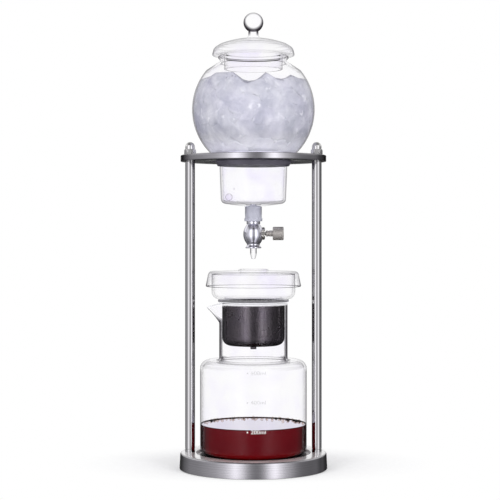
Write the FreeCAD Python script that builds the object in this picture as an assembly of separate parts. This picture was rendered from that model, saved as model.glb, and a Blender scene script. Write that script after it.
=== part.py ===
import FreeCAD, Part
import math
import os

from FreeCAD import Vector

# A cold drip coffee tower: a weighted base and two posts carry a ring plate, a glass globe of
# ice and water hangs in the plate, and a needle valve under it drips through a glass chamber
# and a steel filter cup into a carafe on the base.
# Millimetres, +Z up. The origin is the centre of the base, on the table. The posts stand on
# the X axis, the valve's knob points to +X, and the front, where the carafe comes out, is -Y.

# ---------------------------------------------------------------- driving dimensions
# Fits
SLIP = 0.3                    # gap between pieces of different bodies that lift or slide apart
REST = 0.2                    # gap under a piece that rests on a flat seat
SNUG = 0.05                   # radial gap of plugs, threads and turning shafts

# Base
FOOT_WIDTH = 7.0
FOOT_HEIGHT = 1.2
SKIRT_LIFT = 0.6              # shell's lower edge above the table
COVER_THICKNESS = 1.7
WEIGHT_THICKNESS = 7.8
BASE_WALL = 1.5
BASE_FLARE = 0.8              # how much wider the base is at its foot
BASE_EDGE = 1.6
RECESS_DEPTH = 3.4
RECESS_PLAY = 3.65            # room round the carafe in its recess
RECESS_EDGE = 0.6
MAT_THICKNESS = 1.2
MAT_BORDER = 3.6              # bare recess floor round the mat
COVER_SCREW_INSET = 20.0      # screws inside the foot ring
COVER_SCREW_COUNT = 3
COVER_SCREW_R = 1.5
COVER_SCREW_LENGTH = 5.5
COVER_SCREW_HEAD_R = 2.75
COVER_SCREW_HEAD_HEIGHT = 1.4

# Posts, rods and their fasteners
POST_R = 4.75
POST_WALL = 1.3
POST_INSET = 6.1              # post axis outside the recess wall
POST_TO_RIM = 9.4             # post axis inside the base's top rim
ROD_R = 3.0
ROD_HOLE_GAP = 0.3
WASHER_R = 6.1
WASHER_THICKNESS = 1.2
NUT_ACROSS_FLATS = 10.0
NUT_HEIGHT = 5.0
NUT_POCKET_GAP = 0.6
CAP_NUT_HEIGHT = 12.0
CAP_NUT_DEPTH = 9.0           # depth of the blind thread
CAP_NUT_DOME_R = 4.6

# Top plate and seat ring
PLATE_THICKNESS = 5.8
PLATE_OVERHANG = 9.2          # post axis inside the plate's rim
PLATE_EDGE = 2.0
SEAT_WALL = 1.35              # wall of the seat ring's lower end
SEAT_SKIRT_WALL = 3.5         # its wall where the skirt leaves the plate
SEAT_BODY_WALL = 2.2          # its wall between the globe and the plate's top edge
SEAT_SKIRT = 5.3              # how far it hangs below the plate
SEAT_FLANGE = 4.5             # its flange beyond the plate's hole
SEAT_FLANGE_THICKNESS = 1.4

# Tank globe
GLOBE_R = 59.4
GLOBE_WALL = 2.2
SHOULDER_INSET = 13.4         # from the ball's width to where it turns into a cone
CONE_HEIGHT = 9.0             # from there up to the foot of the mouth
MOUTH_R = 32.6
MOUTH_HEIGHT = 5.4
LIP_BEAD = 1.5                # how far the lip stands out
LIP_HEIGHT = 2.4
SEAT_WIDTH = 6.25             # from the neck to where the ball meets the plate's top
NECK_TOP_R = 33.1
NECK_TAPER = 1.6
NECK_DEPTH = 46.2             # neck's lower end below the plate's top
NECK_CORNER = 4.85
FUNNEL_DROP = 3.0
OUTLET_R = 8.2
OUTLET_LENGTH = 13.2
OUTLET_LIP_R = 9.0
OUTLET_LIP_HEIGHT = 1.5
STOPPER_R = 6.4               # at its top end
STOPPER_TAPER = 0.3
STOPPER_FLANGE_R = 8.0
STOPPER_FLANGE = 1.3
WATER_ABOVE_PLATE = 2.0
WATER_GAP = 0.2

# Ice
ICE_EDGE = 19.5
ICE_TWIST = 4.0               # degrees that a cube may stand askew
ICE_LAYER_TURN = 37.0         # degrees from one layer to the next
ICE_GAP = 0.3

# Tank lid
LID_OVERHANG = 5.7            # lid's rim outside the globe's lip
LID_WALL = 2.2
LID_DOME_HEIGHT = 17.2
LID_DOME_R = 90.0             # radius of the dome's crown
LID_SHOULDER_INSET = 6.8      # from the rim to where the crown turns down to it
LID_COLLAR_PLAY = 2.0         # round the collar in the globe's mouth
LID_COLLAR_DEPTH = 13.5
KNOB_BALL_R = 9.65
KNOB_NECK_R = 4.85
KNOB_NECK_FILLET = 2.0
KNOB_BALL_RISE = 15.1         # ball's centre above the dome's top

# Drip valve
VALVE_R = 9.8
VALVE_COLLAR_R = 6.6
VALVE_COLLAR_HEIGHT = 2.3
VALVE_COLLAR_STEP = 0.75      # collar beyond the egg's upper end
VALVE_HEIGHT = 26.1
VALVE_AXIS_HEIGHT = 14.3      # needle's axis above the valve's lower end
VALVE_WAIST_R = 6.5
VALVE_FOOT_R = 7.6
VALVE_WAIST_HEIGHT = 4.6
VALVE_STEM_R = 3.0
VALVE_STEM_STANDOUT = 1.0     # inlet stem above the stopper
VALVE_BORE_R = 1.0
SPOT_FACE_X = 8.2             # flat that the packing nut closes on
PACKING_R = 3.6
PACKING_START = 4.6
PACKING_LENGTH = 1.8
PACKING_NUT_ACROSS_FLATS = 10.6
PACKING_NUT_THICKNESS = 3.0
NEEDLE_R = 2.0
NEEDLE_TIP_R = 0.6
NEEDLE_CONE = 2.2
NEEDLE_TIP_X = -0.65          # half a turn open
KNOB_CLEARANCE = 1.1          # from the packing nut to the knob's neck, half a turn open
VALVE_KNOB_NECK_R = 2.9
VALVE_KNOB_NECK = 6.5
VALVE_KNOB_R = 6.55
VALVE_KNOB_LENGTH = 10.5
VALVE_KNOB_EDGE = 0.5
VALVE_KNOB_END = 1.6          # solid end of the knob beyond its bore
SET_SCREW_R = 1.25
SET_SCREW_SINK = 0.4
TIP_R = 3.15
TIP_BORE_R = 1.0
TIP_LENGTH = 10.3             # below the valve
TIP_SOCKET = 5.0              # inside the valve
TIP_TAPER_LENGTH = 4.6
TIP_END_R = 1.9
DRIP_GAP = 9.8                # from the drip tip to the chamber's lid

# Carafe
CARAFE_R = 51.65
CARAFE_WALL = 2.2
CARAFE_FLOOR = 2.8
CARAFE_CORNER = 6.8
CARAFE_BODY_HEIGHT = 91.2
CARAFE_SHOULDER = 7.8
CARAFE_NECK_R = 33.1
CARAFE_NECK_HEIGHT = 55.4
CARAFE_NECK_FILLET = 2.5
SPOUT_LENGTH = 14.3           # pouring lip's tip outside the neck
SPOUT_DIP = 4.6               # tip below the rim
SPOUT_TIP_HALF_WIDTH = 1.6
SPOUT_TIP_DEPTH = 1.3
SPOUT_ROOT_INSET = 6.6        # where the lip starts, inside the neck's outside
SPOUT_ROOT_HALF_WIDTH = 17.5
SPOUT_ROOT_DEPTH = 22.0
SPOUT_WALL = 1.0
COFFEE_DEPTH = 26.1
COFFEE_GAP = 0.2

# Brewing chamber
GASKET_HEIGHT = 3.2
GASKET_WIDTH = 3.6
GASKET_EDGE = 0.6             # silicone outside the flange
CUP_PLAY = 0.6                # round the filter cup in the carafe's neck
CUP_WALL = 0.5
CUP_DEPTH = 44.6
CUP_CORNER = 7.8
CUP_NUB_R = 2.9
CUP_NUB_HEIGHT = 2.0
CUP_NUB_BORE_R = 1.2
FLANGE_THICKNESS = 0.6
GROUNDS_DEPTH = 28.0
GROUNDS_GAP = 0.2
PAPER_THICKNESS = 0.3
BOWL_R = 40.5
BOWL_WALL = 2.0
BOWL_HEIGHT = 24.7
BOWL_CORNER = 7.0
SPIGOT_PLAY = 0.4             # round the bowl's spigot in the filter cup
SPIGOT_DEPTH = 3.4
BOWL_LID_PLAY = 3.7           # round the bowl inside the lid's skirt
BOWL_LID_WALL = 2.0
BOWL_LID_SKIRT = 12.6         # skirt's lower edge below the lid's underside
BOWL_LID_CORNER = 7.0
DRIP_HOLE_R = 12.6
DRIP_RING_HEIGHT = 2.3
RIM_ROUND = 0.9               # fire-polished glass rims

# ---------------------------------------------------------------- worked out: heights
COVER_Z = FOOT_HEIGHT
WEIGHT_Z = COVER_Z + COVER_THICKNESS
FLOOR_Z = WEIGHT_Z + WEIGHT_THICKNESS + REST + BASE_WALL      # recess floor
LAND_Z = FLOOR_Z + RECESS_DEPTH                               # where the posts stand
CLAMP_Z = WEIGHT_Z + NUT_HEIGHT + WASHER_THICKNESS + NUT_POCKET_GAP
CARAFE_Z = FLOOR_Z + MAT_THICKNESS + REST
CARAFE_SHOULDER_Z = CARAFE_Z + CARAFE_BODY_HEIGHT
CARAFE_RIM_Z = CARAFE_SHOULDER_Z + CARAFE_NECK_HEIGHT
COFFEE_Z = CARAFE_Z + CARAFE_FLOOR + COFFEE_DEPTH
GASKET_Z = CARAFE_RIM_Z + SLIP
BOWL_Z = GASKET_Z + GASKET_HEIGHT
FLANGE_Z = GASKET_Z + (GASKET_HEIGHT - FLANGE_THICKNESS) / 2
CUP_Z = FLANGE_Z + FLANGE_THICKNESS - CUP_DEPTH - CUP_WALL
BOWL_RIM_Z = BOWL_Z + BOWL_HEIGHT
BOWL_LID_Z = BOWL_RIM_Z + SLIP                                # lid's underside
DRIP_RING_Z = BOWL_LID_Z + BOWL_LID_WALL + DRIP_RING_HEIGHT
TIP_Z = DRIP_RING_Z + DRIP_GAP
VALVE_Z = TIP_Z + TIP_LENGTH
NEEDLE_Z = VALVE_Z + VALVE_AXIS_HEIGHT
STOPPER_Z = VALVE_Z + VALVE_HEIGHT
OUTLET_Z = STOPPER_Z + STOPPER_FLANGE
FUNNEL_Z = OUTLET_Z + OUTLET_LENGTH
NECK_Z = FUNNEL_Z + FUNNEL_DROP
PLATE_TOP_Z = NECK_Z + NECK_DEPTH
PLATE_Z = PLATE_TOP_Z - PLATE_THICKNESS
GLOBE_Z = PLATE_TOP_Z + math.sqrt(GLOBE_R ** 2 - (NECK_TOP_R + SEAT_WIDTH) ** 2)
SHOULDER_R = GLOBE_R - SHOULDER_INSET
MOUTH_Z = GLOBE_Z + math.sqrt(GLOBE_R ** 2 - SHOULDER_R ** 2) + CONE_HEIGHT
LIP_TOP_Z = MOUTH_Z + MOUTH_HEIGHT
WATER_Z = PLATE_TOP_Z + WATER_ABOVE_PLATE
TANK_LID_Z = LIP_TOP_Z + SLIP                                 # lid's underside
DOME_TOP_Z = TANK_LID_Z + LID_DOME_HEIGHT
COLLAR_Z = TANK_LID_Z - LID_COLLAR_DEPTH
BALL_Z = DOME_TOP_Z + KNOB_BALL_RISE
STOPPER_TOP_Z = FUNNEL_Z + GLOBE_WALL / 2                     # inside the globe's wall
STEM_TOP_Z = STOPPER_TOP_Z + VALVE_STEM_STANDOUT
GROUNDS_Z = CUP_Z + CUP_WALL + GROUNDS_GAP
GROUNDS_TOP_Z = GROUNDS_Z + GROUNDS_DEPTH

# ---------------------------------------------------------------- worked out: radii and lengths
RECESS_R = CARAFE_R + RECESS_PLAY
MAT_R = RECESS_R - MAT_BORDER
POST_X = RECESS_R + POST_INSET
FOOT_INNER_R = POST_X - FOOT_WIDTH / 2
COVER_SCREW_CIRCLE_R = FOOT_INNER_R - COVER_SCREW_INSET
BASE_TOP_R = POST_X + POST_TO_RIM
BASE_FOOT_R = BASE_TOP_R + BASE_FLARE
PLATE_R = POST_X + PLATE_OVERHANG
ROD_HOLE_R = ROD_R + ROD_HOLE_GAP
SEAT_BORE_R = NECK_TOP_R + SLIP
PLATE_HOLE_R = NECK_TOP_R + SEAT_WIDTH + SEAT_BODY_WALL
NECK_BOTTOM_R = NECK_TOP_R - NECK_TAPER
LIP_R = MOUTH_R + LIP_BEAD
LID_RIM_R = LIP_R + LID_OVERHANG
LID_SHOULDER_R = LID_RIM_R - LID_SHOULDER_INSET
LID_COLLAR_R = MOUTH_R - GLOBE_WALL - LID_COLLAR_PLAY
STOPPER_FOOT_R = STOPPER_R + STOPPER_TAPER
VALVE_STEM_BORE_R = VALVE_STEM_R + SNUG
NEEDLE_BORE_R = NEEDLE_R + SNUG
PACKING_END = PACKING_START + PACKING_LENGTH
PACKING_NUT_END = SPOT_FACE_X + PACKING_NUT_THICKNESS
KNOB_X = PACKING_NUT_END + KNOB_CLEARANCE
KNOB_HEAD_X = KNOB_X + VALVE_KNOB_NECK
KNOB_END_X = KNOB_HEAD_X + VALVE_KNOB_LENGTH
NEEDLE_END_X = KNOB_END_X - VALVE_KNOB_END - SNUG
TIP_SOCKET_R = TIP_R + SNUG
CARAFE_BORE_R = CARAFE_NECK_R - CARAFE_WALL
SPOUT_REACH = CARAFE_NECK_R + SPOUT_LENGTH
SPOUT_ROOT_X = CARAFE_NECK_R - SPOUT_ROOT_INSET
CUP_R = CARAFE_BORE_R - CUP_PLAY
CUP_BORE_R = CUP_R - CUP_WALL
GASKET_R = CARAFE_NECK_R + 2 * GASKET_EDGE
FLANGE_R = GASKET_R - GASKET_EDGE
SPIGOT_R = CUP_BORE_R - SPIGOT_PLAY
SPIGOT_BORE_R = SPIGOT_R - BOWL_WALL
BOWL_LID_R = BOWL_R + BOWL_LID_PLAY + BOWL_LID_WALL
DRIP_RING_R = DRIP_HOLE_R + BOWL_LID_WALL


# ---------------------------------------------------------------- tools
def turned(*outline):
    """Solid of revolution about Z of a closed outline. A step of the outline is a point
    (radius, height), or a pair of points, the middle and the end of an arc."""
    edges = []
    here = outline[0]
    for step in outline[1:] + outline[:1]:
        if isinstance(step[0], tuple):
            middle, end = step
            edges.append(Part.Arc(in_plane(here), in_plane(middle), in_plane(end)).toShape())
        else:
            end = step
            edges.append(Part.LineSegment(in_plane(here), in_plane(end)).toShape())
        here = end
    return Part.Face(Part.Wire(edges)).revolve(Vector(0, 0, 0), Vector(0, 0, 1), 360)


def in_plane(point):
    """The outline's point (radius, height) in the XZ plane."""
    return Vector(point[0], 0, point[1])


def rounded(solid, *rings):
    """Rounds the circular edges at (radius, height) by the fillet radius given third."""
    for radius, height, fillet in rings:
        edges = [edge for edge in solid.Edges if is_ring(edge, radius, height)]
        solid = solid.makeFillet(fillet, edges)
    return solid


def is_ring(edge, radius, height):
    """True for a level circle of this radius at this height."""
    if edge.Degenerated or not isinstance(edge.Curve, Part.Circle):
        return False
    return (abs(edge.Curve.Radius - radius) < 0.001
            and abs(edge.Curve.Center.z - height) < 0.001)


def upright(radius, bottom, top):
    """Cylinder on the Z axis."""
    return Part.makeCylinder(radius, top - bottom, Vector(0, 0, bottom))


def pipe(radius, bore, bottom, top):
    """Tube on the Z axis."""
    return upright(radius, bottom, top).cut(upright(bore, bottom, top))


def across(radius, start, end):
    """Cylinder along the needle's axis, from X = start to X = end."""
    return Part.makeCylinder(radius, end - start, Vector(start, 0, NEEDLE_Z), Vector(1, 0, 0))


def hexagon(across_flats, bottom, height):
    """Hexagonal prism on the Z axis, with its corners chamfered at the top."""
    corner = across_flats / math.sqrt(3)
    flat = across_flats / 2
    turns = [math.radians(60 * side) for side in range(7)]
    points = [Vector(corner * math.cos(turn), corner * math.sin(turn), bottom) for turn in turns]
    prism = Part.Face(Part.makePolygon(points)).extrude(Vector(0, 0, height))
    return prism.common(Part.makeCone(flat + height, flat, height, Vector(0, 0, bottom)))


def at_posts(solid):
    """The solid, made on the Z axis, over each post."""
    return Part.makeCompound([solid.translated(Vector(side * POST_X, 0, 0)) for side in (-1, 1)])


def sphere_height(ball_r, radius):
    """Height of a ball's surface above its centre at this distance from its axis."""
    return math.sqrt(ball_r ** 2 - radius ** 2)


# ---------------------------------------------------------------- stand
def base_shell():
    """Spun steel cover: a flared side, a flat land for the posts and a round recess."""
    shell = turned(
        (0, FLOOR_Z), (RECESS_R, FLOOR_Z), (RECESS_R, LAND_Z), (BASE_TOP_R, LAND_Z),
        (BASE_FOOT_R, SKIRT_LIFT), (BASE_FOOT_R - BASE_WALL, SKIRT_LIFT),
        (BASE_TOP_R - BASE_WALL, LAND_Z - BASE_WALL), (RECESS_R + BASE_WALL, LAND_Z - BASE_WALL),
        (RECESS_R + BASE_WALL, FLOOR_Z - BASE_WALL), (0, FLOOR_Z - BASE_WALL))
    shell = rounded(shell, (BASE_TOP_R, LAND_Z, BASE_EDGE), (RECESS_R, LAND_Z, RECESS_EDGE))
    return shell.cut(at_posts(upright(ROD_HOLE_R, FLOOR_Z, LAND_Z)))


def base_weight():
    """Iron disc that fills the shell, with a raised ring under the land, a pocket for each
    rod's nut and tapped holes for the cover's screws."""
    outer_r = BASE_TOP_R - BASE_WALL - SLIP
    inner_r = RECESS_R + BASE_WALL + SLIP
    weight = turned(
        (0, WEIGHT_Z), (outer_r, WEIGHT_Z), (outer_r, LAND_Z - BASE_WALL),
        (inner_r, LAND_Z - BASE_WALL), (inner_r, WEIGHT_Z + WEIGHT_THICKNESS),
        (0, WEIGHT_Z + WEIGHT_THICKNESS))
    weight = weight.cut(at_posts(upright(ROD_HOLE_R, WEIGHT_Z, LAND_Z)))
    weight = weight.cut(at_posts(upright(WASHER_R + SLIP, WEIGHT_Z, CLAMP_Z)))
    depth = COVER_SCREW_LENGTH + SLIP
    return weight.cut(at_cover_screws(upright(COVER_SCREW_R + SNUG, WEIGHT_Z, WEIGHT_Z + depth)))


def at_cover_screws(solid):
    """The solid, made on the Z axis, at each cover screw's place."""
    place = Vector(0, -COVER_SCREW_CIRCLE_R, 0)
    solid = solid.translated(place)
    turn = 360 / COVER_SCREW_COUNT
    return Part.makeCompound([solid.rotated(Vector(0, 0, 0), Vector(0, 0, 1), turn * index)
                              for index in range(COVER_SCREW_COUNT)])


def cover_screw(gap):
    """Countersunk screw, wider by the gap where it shapes its hole."""
    head_r = COVER_SCREW_HEAD_R + gap
    shank_r = COVER_SCREW_R + gap
    head_top = COVER_Z + COVER_SCREW_HEAD_HEIGHT
    return turned((0, COVER_Z), (head_r, COVER_Z), (shank_r, head_top),
                  (shank_r, WEIGHT_Z + COVER_SCREW_LENGTH), (0, WEIGHT_Z + COVER_SCREW_LENGTH))


def base_cover():
    """Sheet that closes the base underneath."""
    cover = upright(BASE_TOP_R - BASE_WALL - SLIP, COVER_Z, WEIGHT_Z)
    return cover.cut(at_cover_screws(cover_screw(SNUG)))


def cover_screws():
    return at_cover_screws(cover_screw(0))


def foot_ring():
    """Rubber ring that the tower stands on."""
    return pipe(FOOT_INNER_R + FOOT_WIDTH, FOOT_INNER_R, 0, FOOT_HEIGHT)


def carafe_mat():
    """Thin mat in the recess."""
    top = FLOOR_Z + MAT_THICKNESS
    return rounded(upright(MAT_R, FLOOR_Z, top), (MAT_R, top, MAT_THICKNESS / 4))


def post():
    """Tube between the base and the plate, on the Z axis."""
    return pipe(POST_R, POST_R - POST_WALL, LAND_Z, PLATE_Z)


def post_left():
    return post().translated(Vector(-POST_X, 0, 0))


def post_right():
    return post().translated(Vector(POST_X, 0, 0))


def tie_rods():
    """Threaded rods that clamp the base, the posts and the plate together."""
    top = PLATE_TOP_Z + WASHER_THICKNESS + CAP_NUT_DEPTH - REST
    return at_posts(upright(ROD_R, WEIGHT_Z + REST, top))


def washer(bottom):
    return pipe(WASHER_R, ROD_R + SNUG, bottom, bottom + WASHER_THICKNESS)


def base_washers():
    return at_posts(washer(CLAMP_Z - WASHER_THICKNESS))


def base_nuts():
    bottom = CLAMP_Z - WASHER_THICKNESS - NUT_HEIGHT
    nut = hexagon(NUT_ACROSS_FLATS, bottom, NUT_HEIGHT)
    return at_posts(nut.cut(upright(ROD_R + SNUG, bottom, bottom + NUT_HEIGHT)))


def top_plate():
    """Ring plate with a rounded rim."""
    plate = pipe(PLATE_R, PLATE_HOLE_R, PLATE_Z, PLATE_TOP_Z)
    plate = rounded(plate, (PLATE_R, PLATE_Z, PLATE_EDGE), (PLATE_R, PLATE_TOP_Z, PLATE_EDGE))
    return plate.cut(at_posts(upright(ROD_HOLE_R, PLATE_Z, PLATE_TOP_Z)))


def plate_washers():
    return at_posts(washer(PLATE_TOP_Z))


def cap_nuts():
    """Hexagonal nuts with a closed dome."""
    bottom = PLATE_TOP_Z + WASHER_THICKNESS
    dome_z = bottom + CAP_NUT_HEIGHT - CAP_NUT_DOME_R
    nut = hexagon(NUT_ACROSS_FLATS, bottom, NUT_HEIGHT)
    nut = nut.fuse([upright(CAP_NUT_DOME_R, bottom, dome_z),
                    Part.makeSphere(CAP_NUT_DOME_R, Vector(0, 0, dome_z))])
    return at_posts(nut.cut(upright(ROD_R + SNUG, bottom, bottom + CAP_NUT_DEPTH)))


def seat_ring():
    """Rubber ring in the plate's hole. Its upper edge is hollowed to the globe's ball, and
    its tapered skirt hangs below the plate."""
    body_r = PLATE_HOLE_R - SNUG
    foot_z = PLATE_Z - SEAT_SKIRT
    flange_r = PLATE_HOLE_R + SEAT_FLANGE
    flange_z = PLATE_TOP_Z + SEAT_FLANGE_THICKNESS
    ring = turned((SEAT_BORE_R, foot_z), (SEAT_BORE_R + SEAT_WALL, foot_z),
                  (SEAT_BORE_R + SEAT_SKIRT_WALL, PLATE_Z), (body_r, PLATE_Z),
                  (body_r, PLATE_TOP_Z), (flange_r, PLATE_TOP_Z), (flange_r, flange_z),
                  (SEAT_BORE_R, flange_z))
    return ring.cut(Part.makeSphere(GLOBE_R + SLIP, Vector(0, 0, GLOBE_Z)))


# ---------------------------------------------------------------- tank
def funnel_height(radius):
    """Height of the globe's lower end outside, which slopes down to the outlet."""
    slope = FUNNEL_DROP / (NECK_BOTTOM_R - OUTLET_R)
    return FUNNEL_Z + slope * (radius - OUTLET_R)


def globe_outside():
    """Everything inside the globe's outer surface, outlet included."""
    lip_foot_z = LIP_TOP_Z - LIP_HEIGHT
    lip_step = LIP_R - MOUTH_R
    outside = turned(
        (0, OUTLET_Z), (OUTLET_LIP_R, OUTLET_Z), (OUTLET_LIP_R, OUTLET_Z + OUTLET_LIP_HEIGHT),
        (OUTLET_R, OUTLET_Z + OUTLET_LIP_HEIGHT + OUTLET_LIP_R - OUTLET_R), (OUTLET_R, FUNNEL_Z),
        (NECK_BOTTOM_R, NECK_Z), (NECK_TOP_R, GLOBE_Z - sphere_height(GLOBE_R, NECK_TOP_R)),
        ((GLOBE_R, GLOBE_Z), (SHOULDER_R, GLOBE_Z + sphere_height(GLOBE_R, SHOULDER_R))),
        (MOUTH_R, MOUTH_Z), (MOUTH_R, lip_foot_z - lip_step), (LIP_R, lip_foot_z),
        (LIP_R, LIP_TOP_Z), (0, LIP_TOP_Z))
    return rounded(outside, (NECK_BOTTOM_R, NECK_Z, NECK_CORNER), (MOUTH_R, MOUTH_Z, GLOBE_WALL))


def globe_inside(gap, top):
    """Everything inside the globe's inner surface, smaller by the gap, up to this height."""
    inset = GLOBE_WALL + gap
    ball_r = GLOBE_R - inset
    shrink = ball_r / GLOBE_R
    neck_r = NECK_TOP_R - inset
    mouth_r = MOUTH_R - inset
    shoulder_r = SHOULDER_R * shrink
    shoulder_z = GLOBE_Z + sphere_height(ball_r, shoulder_r)
    cone_rise = CONE_HEIGHT / (SHOULDER_R - MOUTH_R)
    floor_r = NECK_BOTTOM_R - inset
    floor_z = funnel_height(floor_r) + inset
    inside = turned(
        (0, funnel_height(0) + inset), (floor_r, floor_z),
        (neck_r, GLOBE_Z - sphere_height(ball_r, neck_r)),
        ((ball_r, GLOBE_Z), (shoulder_r, shoulder_z)),
        (mouth_r, shoulder_z + cone_rise * (shoulder_r - mouth_r)),
        (mouth_r, LIP_TOP_Z), (0, LIP_TOP_Z))
    inside = rounded(inside, (floor_r, floor_z, NECK_CORNER - GLOBE_WALL))
    return inside.common(upright(GLOBE_R, OUTLET_Z, top))


def stopper_plug(gap):
    """Tapered plug in the outlet, wider by the gap where it shapes the outlet's bore."""
    return turned((0, OUTLET_Z), (STOPPER_FOOT_R + gap, OUTLET_Z), (STOPPER_R + gap, STOPPER_TOP_Z),
                  (0, STOPPER_TOP_Z))


def tank_globe():
    """Blown globe with a lower neck and an outlet tube."""
    globe = globe_outside().cut(globe_inside(0, LIP_TOP_Z))
    globe = rounded(globe, (LIP_R, LIP_TOP_Z, RIM_ROUND), (MOUTH_R - GLOBE_WALL, LIP_TOP_Z, RIM_ROUND))
    bore = stopper_plug(SNUG).fuse(upright(STOPPER_R + SNUG, FUNNEL_Z, NECK_Z))
    return globe.cut(bore)


def tank_stopper():
    """Silicone stopper with a flange under the outlet."""
    stopper = stopper_plug(0).fuse(upright(STOPPER_FLANGE_R, STOPPER_Z, OUTLET_Z))
    return stopper.cut(upright(VALVE_STEM_BORE_R, STOPPER_Z, STOPPER_TOP_Z))


def tank_water():
    """Melt water in the lower neck, round the valve's inlet stem."""
    water = globe_inside(WATER_GAP, WATER_Z)
    outlet = upright(STOPPER_R + SNUG + WATER_GAP, OUTLET_Z, STOPPER_TOP_Z + WATER_GAP)
    stem = upright(VALVE_STEM_R + WATER_GAP, OUTLET_Z, STEM_TOP_Z + WATER_GAP)
    return water.cut(outlet).cut(stem)


def ice_cubes():
    """Layers of cubes that lie on the water and on each other, in rings about the globe's
    axis with the outer ring close to the glass. A cube stands askew inside its cell."""
    twist = math.radians(ICE_TWIST)
    cell = ICE_EDGE * (math.cos(twist) + math.sin(twist)) + ICE_GAP
    pitch = ICE_EDGE + ICE_GAP
    room_r = GLOBE_R - GLOBE_WALL - ICE_GAP
    cubes = []
    for layer in range(int((COLLAR_Z - WATER_Z) / pitch)):
        middle = WATER_Z + ICE_GAP + pitch * layer + ICE_EDGE / 2
        reach = sphere_height(room_r, abs(middle - GLOBE_Z) + ICE_EDGE / 2)
        while reach > cell / math.sqrt(2):
            inner_r = sphere_height(reach, cell / 2) - cell
            ring_r = inner_r + cell / 2 if inner_r > 0 else 0
            count = int(math.pi / math.atan2(cell / 2, inner_r)) if inner_r > 0 else 1
            for index in range(count):
                turn = ICE_LAYER_TURN * layer + 360 * index / count
                cubes.append(ice_cube(ring_r, turn, middle, len(cubes)))
            reach = inner_r
    return Part.makeCompound(cubes)


def ice_cube(radius, turn, height, number):
    """One cube that faces the globe's axis, a little askew."""
    half = ICE_EDGE / 2
    centre = Vector(0, 0, 0)
    up = Vector(0, 0, 1)
    cube = Part.makeBox(ICE_EDGE, ICE_EDGE, ICE_EDGE, Vector(-half, -half, -half))
    cube = cube.rotated(centre, up, ICE_TWIST * math.sin(3 * number))
    return cube.translated(Vector(radius, 0, height)).rotated(centre, up, turn)


def dome_height(inset, radius):
    """Height of the dome's crown, which is part of a ball, smaller by the inset."""
    return DOME_TOP_Z - LID_DOME_R + sphere_height(LID_DOME_R - inset, radius)


def dome_outline(inset, top_r):
    """Steps of the lid's dome from its rim up to the radius top_r on its crown, smaller by
    the inset. The shoulder arc runs on into the crown without a corner."""
    slope = math.asin(LID_SHOULDER_R / LID_DOME_R)
    shoulder_r = LID_SHOULDER_R - inset * math.sin(slope)
    crown_r = (shoulder_r + top_r) / 2
    rim = (LID_RIM_R - inset, TANK_LID_Z + LID_WALL)
    shoulder = (shoulder_r, dome_height(inset, shoulder_r))
    return (rim, (arc_middle(rim, shoulder, math.pi - slope), shoulder),
            ((crown_r, dome_height(inset, crown_r)), (top_r, dome_height(inset, top_r))))


def arc_middle(start, end, heading):
    """Middle of the arc from start to end that arrives at the end with this heading."""
    chord_r = end[0] - start[0]
    chord_z = end[1] - start[1]
    chord_heading = math.atan2(chord_z, chord_r)
    sag = math.hypot(chord_r, chord_z) / 2 * math.tan((heading - chord_heading) / 2)
    return ((start[0] + end[0]) / 2 + sag * math.sin(chord_heading),
            (start[1] + end[1]) / 2 - sag * math.cos(chord_heading))


def tank_lid():
    """Hollow domed lid with a rim that sits on the globe's lip, a collar inside its mouth and
    a ball knob on a short neck."""
    flange_top = TANK_LID_Z + LID_WALL
    collar_bore_r = LID_COLLAR_R - LID_WALL
    neck_foot_r = KNOB_NECK_R + KNOB_NECK_FILLET
    neck_foot_z = dome_height(0, neck_foot_r)
    bend = KNOB_NECK_FILLET * (1 - math.sqrt(0.5))
    dome = turned((0, TANK_LID_Z), (LID_RIM_R, TANK_LID_Z), *dome_outline(0, neck_foot_r),
                  ((KNOB_NECK_R + bend, neck_foot_z + bend),
                   (KNOB_NECK_R, neck_foot_z + KNOB_NECK_FILLET)),
                  (KNOB_NECK_R, BALL_Z), (0, BALL_Z))
    dome = rounded(dome, (LID_RIM_R, TANK_LID_Z, LID_WALL / 3))
    ball = Part.makeSphere(KNOB_BALL_R, Vector(0, 0, BALL_Z))
    collar = pipe(LID_COLLAR_R, collar_bore_r, COLLAR_Z, flange_top)
    hollow = turned((0, flange_top), *dome_outline(LID_WALL, 0))
    throat = upright(collar_bore_r, TANK_LID_Z, flange_top)
    return dome.fuse([ball, collar]).cut([hollow, throat])


# ---------------------------------------------------------------- drip valve
def valve_body():
    """Egg-shaped body with a collar under the stopper, an inlet stem through the stopper, a
    flat for the packing nut and a flared foot."""
    collar_z = STOPPER_Z - VALVE_COLLAR_HEIGHT
    waist_z = VALVE_Z + VALVE_WAIST_HEIGHT
    body = turned(
        (0, VALVE_Z), (VALVE_FOOT_R, VALVE_Z), (VALVE_FOOT_R, VALVE_Z + VALVE_WAIST_HEIGHT / 5),
        ((VALVE_WAIST_R, waist_z - VALVE_WAIST_HEIGHT / 2), (VALVE_WAIST_R, waist_z)),
        ((VALVE_R, NEEDLE_Z), (VALVE_COLLAR_R - VALVE_COLLAR_STEP, collar_z)),
        (VALVE_COLLAR_R, collar_z), (VALVE_COLLAR_R, STOPPER_Z), (VALVE_STEM_R, STOPPER_Z),
        (VALVE_STEM_R, STEM_TOP_Z), (0, STEM_TOP_Z))
    spot_face = across(PACKING_NUT_ACROSS_FLATS, SPOT_FACE_X, 2 * VALVE_R)
    needle_bore = across(NEEDLE_BORE_R, NEEDLE_TIP_X - NEEDLE_R, SPOT_FACE_X)
    packing_bore = across(PACKING_R + SNUG, PACKING_START, SPOT_FACE_X)
    water_bore = upright(VALVE_BORE_R, VALVE_Z, STEM_TOP_Z)
    tip_socket = upright(TIP_SOCKET_R, VALVE_Z, VALVE_Z + TIP_SOCKET)
    return body.cut([spot_face, needle_bore, packing_bore, water_bore, tip_socket])


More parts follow.
